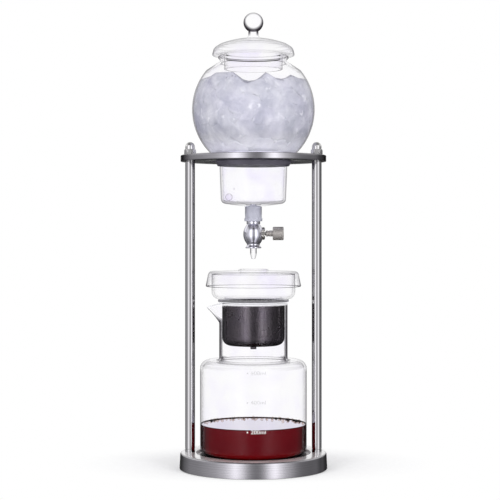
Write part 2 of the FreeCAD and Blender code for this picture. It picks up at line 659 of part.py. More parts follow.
def valve_packing():
    """Soft ring round the needle."""
    return across(PACKING_R, PACKING_START, PACKING_END).cut(
        across(NEEDLE_BORE_R, PACKING_START, PACKING_END))


def packing_nut():
    """Hexagonal nut with a spigot that presses the packing."""
    head = hexagon(PACKING_NUT_ACROSS_FLATS, 0, PACKING_NUT_THICKNESS)
    head = head.rotated(Vector(0, 0, 0), Vector(0, 1, 0), 90)
    head = head.translated(Vector(SPOT_FACE_X, 0, NEEDLE_Z))
    nut = head.fuse(across(PACKING_R, PACKING_END, PACKING_NUT_END))
    return nut.cut(across(NEEDLE_BORE_R, PACKING_END, PACKING_NUT_END))


def drip_tip():
    """Clear tube in the valve's foot, drawn in at its lower end."""
    top = VALVE_Z + TIP_SOCKET
    tip = turned((0, TIP_Z), (TIP_END_R, TIP_Z), (TIP_R, TIP_Z + TIP_TAPER_LENGTH), (TIP_R, top),
                 (0, top))
    tip = rounded(tip, (TIP_END_R, TIP_Z, (TIP_END_R - TIP_BORE_R) / 2))
    return tip.cut(upright(TIP_BORE_R, TIP_Z, top))


def valve_needle():
    """Needle with a conical point; the knob sits on its other end."""
    shaft_x = NEEDLE_TIP_X + NEEDLE_CONE
    point = Part.makeCone(NEEDLE_TIP_R, NEEDLE_R, NEEDLE_CONE, Vector(NEEDLE_TIP_X, 0, NEEDLE_Z),
                          Vector(1, 0, 0))
    return point.fuse(across(NEEDLE_R, shaft_x, NEEDLE_END_X)).removeSplitter()


def valve_knob():
    """Round knob with a neck, bored for the needle and tapped for its set screw."""
    head = across(VALVE_KNOB_R, KNOB_HEAD_X, KNOB_END_X)
    head = head.makeChamfer(VALVE_KNOB_EDGE, [edge for edge in head.Edges
                                              if isinstance(edge.Curve, Part.Circle)])
    knob = head.fuse(across(VALVE_KNOB_NECK_R, KNOB_X, KNOB_HEAD_X))
    knob = knob.cut(across(NEEDLE_BORE_R, KNOB_X, NEEDLE_END_X + SNUG))
    return knob.cut(radial_pin(SET_SCREW_R + SNUG, 0, 2 * VALVE_KNOB_R))


def radial_pin(radius, start, end):
    """Upright cylinder through the knob; start and end are measured from the needle's axis."""
    middle = (KNOB_HEAD_X + KNOB_END_X - VALVE_KNOB_END) / 2
    return Part.makeCylinder(radius, end - start, Vector(middle, 0, NEEDLE_Z + start))


def knob_set_screw():
    """Grub screw from the knob's side down to the needle."""
    return radial_pin(SET_SCREW_R, NEEDLE_BORE_R, VALVE_KNOB_R - SET_SCREW_SINK)


# ---------------------------------------------------------------- carafe
def spout_section(x, half_width, bottom, top):
    """Closed wire in the plane X = -x: two upright sides joined by a half round below."""
    spring = bottom + half_width
    left = Vector(-x, -half_width, spring)
    right = Vector(-x, half_width, spring)
    left_top = Vector(-x, -half_width, top)
    right_top = Vector(-x, half_width, top)
    return Part.Wire([Part.LineSegment(left_top, left).toShape(),
                      Part.Arc(left, Vector(-x, 0, bottom), right).toShape(),
                      Part.LineSegment(right, right_top).toShape(),
                      Part.LineSegment(right_top, left_top).toShape()])


def spout_wedge(inset):
    """Pouring lip as a solid beak, smaller by the inset, reaching above the rim."""
    top = CARAFE_RIM_Z + SPOUT_ROOT_DEPTH
    tip_z = CARAFE_RIM_Z - SPOUT_DIP - SPOUT_TIP_DEPTH
    root = spout_section(SPOUT_ROOT_X - inset, SPOUT_ROOT_HALF_WIDTH - inset,
                       CARAFE_RIM_Z - SPOUT_ROOT_DEPTH + inset, top)
    tip = spout_section(SPOUT_REACH - inset, SPOUT_TIP_HALF_WIDTH - inset, tip_z + inset, top)
    return Part.makeLoft([root, tip], True, True)


def above_spout():
    """Everything above the rim and above the lip's slope."""
    far = SPOUT_REACH + CARAFE_WALL
    slope_x = CARAFE_BORE_R - CARAFE_WALL
    slope = SPOUT_DIP / (SPOUT_REACH - slope_x)
    top = CARAFE_RIM_Z + 2 * SPOUT_ROOT_DEPTH
    width = 2 * CARAFE_R
    points = [Vector(far, -width / 2, CARAFE_RIM_Z), Vector(-slope_x, -width / 2, CARAFE_RIM_Z),
              Vector(-far, -width / 2, CARAFE_RIM_Z - slope * (far - slope_x)),
              Vector(-far, -width / 2, top), Vector(far, -width / 2, top)]
    return Part.Face(Part.makePolygon(points + points[:1])).extrude(Vector(0, width, 0))


def carafe_outside():
    """Everything inside the carafe's outer surface, without its lip."""
    outside = turned((0, CARAFE_Z), (CARAFE_R, CARAFE_Z), (CARAFE_R, CARAFE_SHOULDER_Z),
                     (CARAFE_NECK_R, CARAFE_SHOULDER_Z), (CARAFE_NECK_R, CARAFE_RIM_Z),
                     (0, CARAFE_RIM_Z))
    return rounded(outside, (CARAFE_R, CARAFE_Z, CARAFE_CORNER),
                   (CARAFE_R, CARAFE_SHOULDER_Z, CARAFE_SHOULDER),
                   (CARAFE_NECK_R, CARAFE_SHOULDER_Z, CARAFE_NECK_FILLET))


def carafe_inside(gap, top):
    """Everything inside the carafe's inner surface, smaller by the gap, up to this height."""
    inner_r = CARAFE_R - CARAFE_WALL - gap
    floor_z = CARAFE_Z + CARAFE_FLOOR + gap
    shoulder_z = CARAFE_SHOULDER_Z - CARAFE_WALL - gap
    bore_r = CARAFE_BORE_R - gap
    inside = turned((0, floor_z), (inner_r, floor_z), (inner_r, shoulder_z), (bore_r, shoulder_z),
                    (bore_r, CARAFE_RIM_Z), (0, CARAFE_RIM_Z))
    inside = rounded(inside, (inner_r, floor_z, CARAFE_CORNER - CARAFE_WALL),
                     (inner_r, shoulder_z, CARAFE_SHOULDER - CARAFE_WALL),
                     (bore_r, shoulder_z, CARAFE_NECK_FILLET))
    return inside.common(upright(CARAFE_R, CARAFE_Z, top))


def carafe():
    """Glass carafe with a straight neck and a pouring lip."""
    outside = carafe_outside().fuse(spout_wedge(0))
    inside = carafe_inside(0, CARAFE_RIM_Z).fuse(spout_wedge(SPOUT_WALL))
    return outside.cut(inside).cut(above_spout())


def brewed_coffee():
    return carafe_inside(COFFEE_GAP, COFFEE_Z)


# ---------------------------------------------------------------- brewing chamber
def filter_cup():
    """Deep-drawn steel cup with a flange and a drain nub."""
    flange_top = FLANGE_Z + FLANGE_THICKNESS
    cup = turned((0, CUP_Z), (CUP_R, CUP_Z), (CUP_R, FLANGE_Z), (FLANGE_R, FLANGE_Z),
                 (FLANGE_R, flange_top), (0, flange_top))
    cup = rounded(cup, (CUP_R, CUP_Z, CUP_CORNER))
    hollow = rounded(upright(CUP_BORE_R, CUP_Z + CUP_WALL, flange_top),
                     (CUP_BORE_R, CUP_Z + CUP_WALL, CUP_CORNER - CUP_WALL))
    nub = upright(CUP_NUB_R, CUP_Z - CUP_NUB_HEIGHT, CUP_Z + CUP_WALL)
    drain = upright(CUP_NUB_BORE_R, CUP_Z - CUP_NUB_HEIGHT, CUP_Z + CUP_WALL)
    return cup.cut(hollow).fuse(nub).cut(drain)


def filter_gasket():
    """Silicone ring that holds the cup's flange between the bowl and the carafe's rim."""
    ring = pipe(GASKET_R, GASKET_R - GASKET_WIDTH, GASKET_Z, BOWL_Z)
    ring = rounded(ring, (GASKET_R, GASKET_Z, GASKET_EDGE), (GASKET_R, BOWL_Z, GASKET_EDGE))
    return ring.cut(upright(FLANGE_R + SNUG, FLANGE_Z, FLANGE_Z + FLANGE_THICKNESS))


def coffee_grounds():
    """Ground coffee, a closed solid that fills the lower part of the cup."""
    radius = CUP_BORE_R - GROUNDS_GAP
    grounds = upright(radius, GROUNDS_Z, GROUNDS_TOP_Z)
    return rounded(grounds, (radius, GROUNDS_Z, CUP_CORNER - CUP_WALL))


def paper_filter():
    """Paper disc that spreads the drops over the grounds."""
    return upright(CUP_BORE_R - SLIP, GROUNDS_TOP_Z, GROUNDS_TOP_Z + PAPER_THICKNESS)


def brew_bowl():
    """Straight-sided glass bowl, open below, with a short spigot inside the filter cup."""
    inner_r = BOWL_R - BOWL_WALL
    floor_z = BOWL_Z + BOWL_WALL
    spigot_z = BOWL_Z - SPIGOT_DEPTH
    bowl = turned((SPIGOT_BORE_R, spigot_z), (SPIGOT_R, spigot_z), (SPIGOT_R, BOWL_Z),
                  (BOWL_R, BOWL_Z), (BOWL_R, BOWL_RIM_Z), (inner_r, BOWL_RIM_Z), (inner_r, floor_z),
                  (SPIGOT_BORE_R, floor_z))
    return rounded(bowl, (BOWL_R, BOWL_Z, BOWL_CORNER), (inner_r, floor_z, BOWL_CORNER - BOWL_WALL),
                   (BOWL_R, BOWL_RIM_Z, RIM_ROUND), (inner_r, BOWL_RIM_Z, RIM_ROUND))


def bowl_lid():
    """Flat glass lid with a rounded skirt and a raised ring round the drip hole."""
    top_z = BOWL_LID_Z + BOWL_LID_WALL
    skirt_z = BOWL_LID_Z - BOWL_LID_SKIRT
    inner_r = BOWL_LID_R - BOWL_LID_WALL
    lid = turned((DRIP_HOLE_R, BOWL_LID_Z), (inner_r, BOWL_LID_Z), (inner_r, skirt_z),
                 (BOWL_LID_R, skirt_z), (BOWL_LID_R, top_z), (DRIP_RING_R, top_z),
                 (DRIP_RING_R, DRIP_RING_Z), (DRIP_HOLE_R, DRIP_RING_Z))
    return rounded(lid, (BOWL_LID_R, top_z, BOWL_LID_CORNER),
                   (inner_r, BOWL_LID_Z, BOWL_LID_CORNER - BOWL_LID_WALL),
                   (BOWL_LID_R, skirt_z, RIM_ROUND), (inner_r, skirt_z, RIM_ROUND),
                   (DRIP_RING_R, DRIP_RING_Z, RIM_ROUND))


# ---------------------------------------------------------------- parts
PIECES = [base_shell, base_weight, base_cover, cover_screws, foot_ring, carafe_mat, post_left,
          post_right, tie_rods, base_washers, base_nuts, top_plate, plate_washers, cap_nuts,
          seat_ring, tank_globe, tank_stopper, tank_water, ice_cubes, tank_lid, valve_body,
          valve_packing, packing_nut, drip_tip, valve_needle, valve_knob, knob_set_screw, carafe,
          brewed_coffee, filter_cup, filter_gasket, coffee_grounds, paper_filter, brew_bowl,
          bowl_lid]

os.makedirs("parts", exist_ok=True)
for piece in PIECES:
    shape = piece()
    if not shape.isValid():
        raise ValueError(piece.__name__ + " is not a valid solid")
    shape.exportStep("parts/" + piece.__name__ + ".step")
    print(piece.__name__, len(shape.Solids), round(shape.Volume, 1))
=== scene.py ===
"""Dresses a cold drip coffee tower: clear glass, spun steel, ice, water and coffee on its frame.

Laid out as an add-on. Shapes are given in millimetres and written to the meshes in metres.
Heights are measured from the table and radii from the tower's axis unless a note says
otherwise. The front is -Y and the valve's knob points to +X.
"""

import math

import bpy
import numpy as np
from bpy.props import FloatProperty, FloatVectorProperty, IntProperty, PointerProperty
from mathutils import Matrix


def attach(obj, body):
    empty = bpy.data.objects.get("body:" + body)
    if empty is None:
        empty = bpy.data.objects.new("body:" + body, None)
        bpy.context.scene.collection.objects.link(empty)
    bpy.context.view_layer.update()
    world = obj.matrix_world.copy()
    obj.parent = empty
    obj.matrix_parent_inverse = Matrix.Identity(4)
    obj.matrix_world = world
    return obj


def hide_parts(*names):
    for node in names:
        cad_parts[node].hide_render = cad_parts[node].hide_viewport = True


bl_info = {
    "name": "Cold drip coffee tower",
    "version": (1, 0, 0),
    "blender": (4, 5, 0),
    "location": "View3D > Sidebar > Drip tower",
    "description": "Builds the glass, steel, ice and coffee of a cold drip tower on its frame",
    "category": "Object",
}

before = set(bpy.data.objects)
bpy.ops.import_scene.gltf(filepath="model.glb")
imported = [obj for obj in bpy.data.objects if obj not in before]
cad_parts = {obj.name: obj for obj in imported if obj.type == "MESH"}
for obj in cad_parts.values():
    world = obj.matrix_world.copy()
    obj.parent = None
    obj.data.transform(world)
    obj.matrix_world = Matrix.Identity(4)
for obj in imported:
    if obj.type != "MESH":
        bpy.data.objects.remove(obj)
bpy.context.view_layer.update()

MM = 0.001

# ---------------------------------------------------------------- sizes, in millimetres
GLASS_WALL = 2.2
OUTLET_WALL = 1.65
BOWL_WALL = 2.0
SHEET_WALL = 1.5              # spun steel of the base
FILM = 0.2                    # between a liquid and its glass

BASE_TOP_R = 70.8
BASE_FOOT_R = 71.6
SHELL_Z = 0.6                 # shell's lower edge
RECESS_R = 55.3
LAND_Z = 15.8                 # top round the recess, on which the posts stand
RECESS_Z = 12.4
MAT_R = 51.7
MAT_TOP_Z = 13.6
FOOT_IN_R, FOOT_OUT_R = 57.9, 64.9
FOOT_TOP_Z = 1.2

POST_X = 61.4
POST_R, POST_BORE_R = 4.75, 3.45
GROOVE_Z, GROOVE_TOP_Z, GROOVE_DEPTH = 18.4, 19.2, 0.3
PLATE_Z, PLATE_TOP_Z = 297.3, 303.1
PLATE_HOLE_R, PLATE_R = 41.6, 70.6
WASHER_TOP_Z = 304.3
NUT_HEIGHT = 12.0
NUT_CROWN_R = 4.6
SEAT_Z, SEAT_TOP_Z = 293.0, 303.8
SEAT_FLANGE_Z = 303.15
SEAT_R, SEAT_FLANGE_R = 41.5, 46.0

CARAFE_R = 51.65
CARAFE_Z = 13.8
CARAFE_NECK_R = 33.1
CARAFE_SHOULDER_Z = 105.0
CARAFE_RIM_Z = 160.4
CARAFE_FLOOR = 2.8
SPOUT_LENGTH = 14.3
SPOUT_DEPTH = 19.5            # where the lip leaves the neck, below the rim
SPOUT_DIP = 4.6               # lip's tip below the rim
SPOUT_TIP_SOFTNESS = 0.06     # rounding of the lip's tip, in radians
COFFEE_Z, COFFEE_TOP_Z = 14.2, 43.5
MENISCUS = 0.8
MARKS = (("200ml", 41.6, 1.0), ("400ml", 69.3, 0.6), ("600ml", 96.8, 0.6))     # height, shade

GLOBE_R = 59.4
GLOBE_Z = 347.6
SHOULDER_R = 46.0
NECK_R = 31.5
NECK_TOP_R = 33.1
NECK_Z = 256.9
OUTLET_R = 8.2
OUTLET_Z, OUTLET_TOP_Z = 241.0, 252.5
MOUTH_R = 32.6
MOUTH_Z = 394.2
LIP_R = 34.1
LIP_Z = 398.7
WATER_Z, WATER_TOP_Z = 257.2, 305.2
ICE_ROOM_R = 58.4             # the glass makes the ice look as wide as the globe
ICE_Z, ICE_TOP_Z = 305.6, 385.5
ICE_LAYERS, ICE_FIRST_Z = 5, 310.0      # layers of cubes, and the height of the first one
ICE_PITCH, ICE_HALF = 0.84, 0.66        # distance of the cubes and half their size, by the edge
# the uneven top of the ice from left to right: x and height
HEAP_TOP = ((-60, 374), (-49, 377), (-41, 379.5), (-36, 382.8), (-20, 383.8), (-14, 379.4),
            (-7, 374.3), (-1, 374), (6, 378), (11.5, 383), (15, 381.5), (22, 377),
            (30, 377.2), (36, 380.9), (42, 378), (60, 375))

LID_RIM_R = 39.8
LID_COLLAR_R = 28.4
LID_Z, LID_COLLAR_Z, LID_TOP_Z = 399.9, 386.5, 417.1
LID_CROWN_R = 90.0
KNOB_BALL_R = 9.65
KNOB_BALL_Z = 432.17
KNOB_NECK_R = 4.85

VALVE_Z = 213.3
VALVE_FACE_X, VALVE_FACE_R = 8.2, 6.3   # where the packing nut meets the valve
NEEDLE_Z = 227.6
NEEDLE_BORE_X, NEEDLE_BORE_R = -2.9, 3.9
EGG_Z = NEEDLE_Z - 0.6                  # middle of the valve's egg
STOPPER_Z = 239.4
TIP_Z, TIP_TOP_Z = 203.0, 218.3
TIP_R = 3.15
PACKING_NUT_X, PACKING_NUT_END_X = 8.25, 11.2
KNOB_X, KNOB_HEAD_X, KNOB_END_X = 12.3, 18.8, 29.3
KNOB_R = 6.55
KNURL_DEPTH = 0.28

CUP_R, CUP_FLANGE_R = 30.3, 33.7
CUP_WALL = 0.5
CUP_FLOOR_Z, CUP_FLANGE_Z, CUP_TOP_Z = 119.2, 162.0, 162.6
CUP_NUB_R, CUP_NUB_BORE_R, CUP_NUB_Z = 2.9, 1.2, 115.5
GROUNDS_R = CUP_R - CUP_WALL - FILM
GROUNDS_TOP_Z = 146.15
PAPER_R, PAPER_Z, PAPER_TOP_Z = 29.5, 146.2, 146.5
GASKET_IN_R, GASKET_R = 30.8, 34.3
GASKET_Z, GASKET_TOP_Z = 160.75, 163.85
BOWL_SPIGOT_R, BOWL_R = 29.4, 40.5
BOWL_Z, BOWL_FLOOR_Z, BOWL_TOP_Z = 161.4, 164.1, 187.6
SKIRT_Z, BOWL_LID_Z, BOWL_LID_TOP_Z = 177.3, 190.9, 192.2
SKIRT_R, BOWL_LID_R, DRIP_HOLE_R = 46.2, 43.4, 14.6

EDGE_VALUES = ("edge_start", "edge_dark", "frost")      # what a mesh stores for clear glass
BUBBLE_EDGE = (0.5, 1.0)      # the first two of them, for a bubble

# turn from the front in degrees, and how bright the room is there in polished surfaces
SOFT_BOXES = (
    (-180, 0.14), (-150, 0.2), (-138, 0.34), (-125, 0.32), (-95, 0.37), (-75, 0.49), (-60, 0.6),
    (-45, 0.9), (-36, 1.35), (-28, 1.85), (-18, 1.35), (-10, 0.68), (-3, 0.38), (4, 0.27),
    (11, 0.33), (18, 0.68), (26, 1.5), (34, 1.95), (42, 1.3), (51, 0.8), (60, 0.58), (70, 0.33),
    (80, 0.22), (100, 0.18), (113, 0.2), (129, 0.12), (138, 0.25), (152, 0.12), (180, 0.12))

# the stage in metres, with the lamps' tilt in degrees and the camera's shift in widths
FLOOR_R = 9.0
LAMP_SIZE, LAMP_DISTANCE, LAMP_HEIGHT, LAMP_TILT = (0.5, 1.1), 1.5, 0.55, 78
CAMERA_SHIFT = (-0.0068, -0.038)


# ---------------------------------------------------------------- settings
class GlassLook(bpy.types.PropertyGroup):
    """Clear borosilicate glass."""

    tint: FloatVectorProperty(
        name="Tint", description="What one glass surface lets through", subtype="COLOR",
        default=(0.998, 0.997, 0.9995), min=0, max=1)
    edge: FloatVectorProperty(
        name="Edge", description="Colour of thick glass at rims and bends", subtype="COLOR",
        default=(0.16, 0.15, 0.17), min=0, max=1)
    edge_strength: FloatProperty(
        name="Edge strength", description="How dark rims and bends are", default=1.0, min=0, max=2)


class SteelLook(bpy.types.PropertyGroup):
    """Spun, polished and plated steel."""

    brushed: FloatVectorProperty(
        name="Base", description="Colour of the base", subtype="COLOR",
        default=(0.52, 0.505, 0.53), min=0, max=1)
    plate: FloatVectorProperty(
        name="Plate", description="Colour of the top plate", subtype="COLOR",
        default=(0.57, 0.555, 0.58), min=0, max=1)
    polished: FloatVectorProperty(
        name="Polished", description="Colour of the posts and nuts", subtype="COLOR",
        default=(0.58, 0.57, 0.57), min=0, max=1)
    knurled: FloatVectorProperty(
        name="Knurled", description="Colour of the valve's knob", subtype="COLOR",
        default=(0.57, 0.54, 0.51), min=0, max=1)
    cup: FloatVectorProperty(
        name="Filter cup", description="Colour of the filter cup", subtype="COLOR",
        default=(0.115, 0.10, 0.112), min=0, max=1)


class LiquidLook(bpy.types.PropertyGroup):
    """Coffee, melt water and ice."""

    coffee: FloatVectorProperty(
        name="Coffee", description="Colour of the coffee seen through the glass",
        subtype="COLOR", default=(0.10, 0.003, 0.006), min=0, max=1)
    # painted shade: the dark colour drawn on the coffee at a slant and just under its surface; the
    # surface's body uses it too
    coffee_edge: FloatVectorProperty(
        name="Coffee edge", description="Colour of the coffee where it is seen at a slant",
        subtype="COLOR", default=(0.02, 0.008, 0.008), min=0, max=1)
    # painted light: the brighter red drawn on the coffee over the glass floor
    coffee_glow: FloatVectorProperty(
        name="Coffee glow", description="Colour of the coffee over the glass floor",
        subtype="COLOR", default=(0.19, 0.002, 0.002), min=0, max=1)
    ice_pale: FloatVectorProperty(
        name="Pale ice", description="Frosted, cracked ice", subtype="COLOR",
        default=(0.74, 0.74, 0.80), min=0, max=1)
    ice_deep: FloatVectorProperty(
        name="Deep ice", description="Clearer ice between the frosted parts", subtype="COLOR",
        default=(0.54, 0.545, 0.64), min=0, max=1)
    cube: FloatProperty(
        name="Ice cube", description="Edge of an ice cube", default=22 * MM,
        subtype="DISTANCE", unit="LENGTH")
    seed: IntProperty(name="Seed", description="Another heap of ice for each seed", default=4)


class StageLook(bpy.types.PropertyGroup):
    """Camera, lamps and floor."""

    distance: FloatProperty(
        name="Distance", description="Camera to the tower's axis", default=1.455,
        subtype="DISTANCE", unit="LENGTH")
    height: FloatProperty(
        name="Height", description="Camera above the table", default=0.230,
        subtype="DISTANCE", unit="LENGTH")
    lens: FloatProperty(name="Lens", description="Focal length in millimetres", default=108.0)
    lamp_power: FloatProperty(
        name="Lamp power", description="Power of each front lamp in watts", default=9.0)
    fill: FloatProperty(
        name="Fill", description="Brightness of the room round the tower", default=0.78)


class TowerSettings(bpy.types.PropertyGroup):
    """All settings of the tower."""

    glass: PointerProperty(type=GlassLook)
    steel: PointerProperty(type=SteelLook)
    liquid: PointerProperty(type=LiquidLook)
    stage: PointerProperty(type=StageLook)


# ---------------------------------------------------------------- profiles
def soften(corners, steps=7):
    """Open line through corners (radius, height, bend) whose bends are arcs: an arc of the
    bend's radius touches both sides of its corner, and a bend of 0 stays sharp."""
    corners = np.array([(*corner, 0)[:3] for corner in corners], float)
    point, bend = corners[:, :2], corners[:, 2:]
    before = unit(np.roll(point, 1, axis=0) - point)
    after = unit(np.roll(point, -1, axis=0) - point)
    half = np.arccos(np.clip((before * after).sum(1, keepdims=True), -1, 1)) / 2
    half = np.clip(half, 0.01, math.pi / 2 - 0.001)
    cut = bend / np.tan(half)
    centre = point + unit(before + after + 1e-12) * bend / np.sin(half)
    sweep = (math.pi - 2 * half)[:, None]
    share = np.linspace(0, 1, steps)[None, :, None]
    start, end = (point + before * cut - centre)[:, None], (point + after * cut - centre)[:, None]
    arc = (np.sin((1 - share) * sweep) * start + np.sin(share * sweep) * end) / np.sin(sweep)
    line = np.where(bend[:, None] > 0, centre[:, None] + arc, point[:, None]).reshape(-1, 2)
    apart = np.linalg.norm(np.diff(line, axis=0), axis=1) > 1e-6
    return line[np.concatenate([[True], apart])]


def unit(vectors):
    """Each vector over its length."""
    return vectors / np.maximum(np.linalg.norm(vectors, axis=-1, keepdims=True), 1e-12)


def subdivided(line, step):
    """The line with more points, so that none is further than about one step from the next."""
    along = np.concatenate([[0], np.cumsum(np.linalg.norm(np.diff(line, axis=0), axis=1))])
    places = np.unique(np.concatenate([along, np.arange(0, along[-1], step)]).round(6))
    return np.stack([np.interp(places, along, line[:, axis]) for axis in (0, 1)], axis=1)


def arc_points(centre, radius, start, end, steps):
    """Points on a circle about (0, centre) between two slopes: r = R cos e,
    z = centre + R sin e, rounded so that a pole lies on the axis."""
    slope = np.linspace(start, end, steps)
    return np.stack([radius * np.cos(slope), centre + radius * np.sin(slope)], axis=1).round(9)


def ball_arc(centre, radius, low, high, steps=48):
    """Points on such a circle from distance low on its lower half up to distance high on its
    upper half."""
    return arc_points(centre, radius, -math.acos(low / radius), math.acos(high / radius), steps)


def inset(line, wall):
    """The line set back by the wall along its normals, but not past the axis."""
    along = unit(np.gradient(line, axis=0))
    wall = np.broadcast_to(wall, len(line))[:, None]
    inside = line + np.stack([-along[:, 1], along[:, 0]], axis=1) * wall
    return np.maximum(inside, (0, -np.inf))


def walled(outside, wall):
    """Closed outline of a wall: the outside line, a half round over its end, the same line set
    back, and a half round at its start unless that is on the axis."""
    inside = inset(outside, wall)
    turn = np.linspace(0, math.pi, 9)[1:-1, None]

    def half_round(end, way):
        """Half circle over the wall's last point, or with way -1 over its first."""
        half = (inside[end] - outside[end]) / 2
        ahead = way * np.array([half[1], -half[0]])
        return outside[end] + half + np.sin(turn) * ahead - np.cos(turn) * half

    under = half_round(0, -1)[::-1] if outside[0, 0] > 0 else np.zeros((0, 2))
    return np.concatenate([outside, half_round(-1, 1), inside[::-1], under])


def glass_edges(line, loop, wall=GLASS_WALL, dark=0.7):
    """Where a glass outline looks dark: from the slant 1 - sqrt(2 w k) on, with the wall w and
    the curvature k, the line of sight runs along the wall and not through it. k is the turn's
    curvature, normal's r over r, where the surface stands, and the outline's own where it
    lies flat; hollow parts get none. Gives that slant and the darkness of each point, which
    a piece then changes where the photograph shows its glass darker or clearer."""
    ring = np.concatenate([line[-1:], line, line[:1]])
    if not loop:
        ring[0], ring[-1] = line[1] * (-1, 1), line[-2] * (-1, 1)
    step = np.diff(ring, axis=0)
    length = np.linalg.norm(step, axis=1)
    heading = np.unwrap(np.arctan2(step[:, 1], step[:, 0]))
    bend = np.diff(heading) / ((length[1:] + length[:-1]) / 2)
    after = np.roll(line, -1, axis=0)
    turning = np.sign((line[:, 0] * after[:, 1] - after[:, 0] * line[:, 1]).sum())
    along = unit(ring[2:] - ring[:-2])
    out_r, out_z = turning * along[:, 1], -turning * along[:, 0]
    around_axis = out_r / np.maximum(line[:, 0], 0.5)
    curve = np.maximum((1 - out_z ** 2) * around_axis + out_z ** 2 * turning * bend, 0)
    start = np.clip(1 - np.sqrt(2 * wall * curve), 0.12, 1)
    return start, np.full(len(line), dark)


# ---------------------------------------------------------------- surfaces
def circle(count):
    """Turns all the way round, the first not repeated at the end."""
    return np.linspace(0, 2 * math.pi, count, endpoint=False)


def around(radius, turn, height):
    """Points (r cos t, r sin t, z)."""
    parts = np.broadcast_arrays(radius * np.cos(turn), radius * np.sin(turn), height)
    return np.stack(parts, axis=-1)


def turned(line, sides=128):
    """Surface of revolution: (r cos t, r sin t, z) for each point (r, z) and turn t."""
    return around(line[:, :1], circle(sides), line[:, 1:])


def on_x_axis(points, height):
    """Lays a surface turned about Z along +X at this height: z becomes x, and x becomes z."""
    return np.stack([points[..., 2], points[..., 1], height + points[..., 0]], axis=-1)


def hexagonal(line, across_flats, sides=96):
    """Nut: at the turn t its radius is the smaller of the line's radius and the hexagon's,
    flat / cos(t mod 60 - 30 degrees)."""
    turn = circle(sides)
    flats = across_flats / 2 / np.cos(np.mod(turn, math.pi / 3) - math.pi / 6)
    return around(np.minimum(line[:, :1], flats), turn, line[:, 1:])


def balls(places, sizes, rows=12, turns=20):
    """Balls of these radii at these places: centre + R (cos e cos t, cos e sin t, sin e)."""
    rise = np.linspace(-math.pi / 2, math.pi / 2, rows)[:, None]
    ball = around(np.cos(rise), circle(turns), np.sin(rise))
    return places[:, None, None] + sizes[:, None, None, None] * ball


def lattice(points, loop):
    """Vertices, quads and triangles of a grid of points (rows, turns, 3) whose turns close on
    themselves, and the place of each vertex in the grid. With loop its rows close too;
    without it the first and last row are poles, each one vertex with a fan of triangles.
    The faces are turned round if the volume that they enclose comes out negative."""
    rows, turns = points.shape[:2]
    index = np.arange(rows * turns).reshape(rows, turns)
    if not loop:
        index[0], index[-1] = index[0, 0], index[-1, 0]
    beside = np.roll(index, -1, axis=1)
    above, across = np.roll(index, -1, axis=0), np.roll(beside, -1, axis=0)
    cells = np.stack([index, beside, across, above], axis=-1)
    if loop:
        quads, fans = cells.reshape(-1, 4), np.zeros((0, 3), int)
    else:
        quads = cells[1:-2].reshape(-1, 4)
        fans = np.concatenate([cells[0][:, [0, 2, 3]], cells[-2][:, [0, 1, 2]]])
    used, places = np.unique(np.concatenate([quads.ravel(), fans.ravel()]), return_inverse=True)
    quads, fans = places[:quads.size].reshape(-1, 4), places[quads.size:].reshape(-1, 3)
    vertices = points.reshape(-1, 3)[used]
    triangles = np.concatenate([quads[:, :3], quads[:, [0, 2, 3]], fans])
    first, second, third = (vertices[triangles[:, corner]] for corner in range(3))
    if (first * np.cross(second, third)).sum() < 0:
        quads, fans = quads[:, ::-1], fans[:, ::-1]
    return vertices, quads, fans, used


def mesh_of(name, vertices, faces, edges=(), sharp=35):
    """Mesh in metres with smooth faces, sharp edges above an angle, and the glass edges'
    values, one per vertex."""
    mesh = bpy.data.meshes.new(name)
    mesh.from_pydata((vertices * MM).tolist(), [], faces)
    for key, value in zip(EDGE_VALUES, edges):
        attribute = mesh.attributes.new(key, "FLOAT", "POINT")
        attribute.data.foreach_set("value", np.ascontiguousarray(value, np.float32))
    mesh.shade_smooth()
    mesh.set_sharp_from_angle(angle=math.radians(sharp))
    mesh.update()
    return mesh


def grid_mesh(name, points, loop=True, edges=(), sharp=35):
    """Closed mesh of one grid of points (rows, turns, 3) or of many grids of one make. Each
    of the edges' values is one for all points or one per row."""
    grids = points.reshape(-1, *points.shape[-3:])
    _, quads, fans, used = lattice(grids[0], loop)
    offset = (np.arange(len(grids)) * len(used))[:, None, None]
    faces = (quads + offset).reshape(-1, 4).tolist() + (fans + offset).reshape(-1, 3).tolist()
    edges = [np.broadcast_to(np.reshape(value, (-1, 1)), grids.shape[1:3]).ravel()[used]
             for value in edges]
    edges = [np.tile(value, len(grids)) for value in edges]
    vertices = grids.reshape(len(grids), -1, 3)[:, used].reshape(-1, 3)
    return mesh_of(name, vertices, faces, edges, sharp)


def place(mesh, material, body, slot, *replaced):
    """Links the mesh as a piece that rides on a body and stands for the replaced nodes."""
    piece = bpy.data.objects.new(mesh.name, mesh)
    bpy.context.scene.collection.objects.link(piece)
    mesh.materials.append(material)
    if replaced:
        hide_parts(*replaced)
    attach(piece, body)


def turned_piece(name, line, material, body, slot, replaced, loop=True, sides=128, edges=()):
    """Piece turned about the tower's axis that stands for one node."""
    place(grid_mesh(name, turned(line, sides), loop, edges), material, body, slot, replaced)


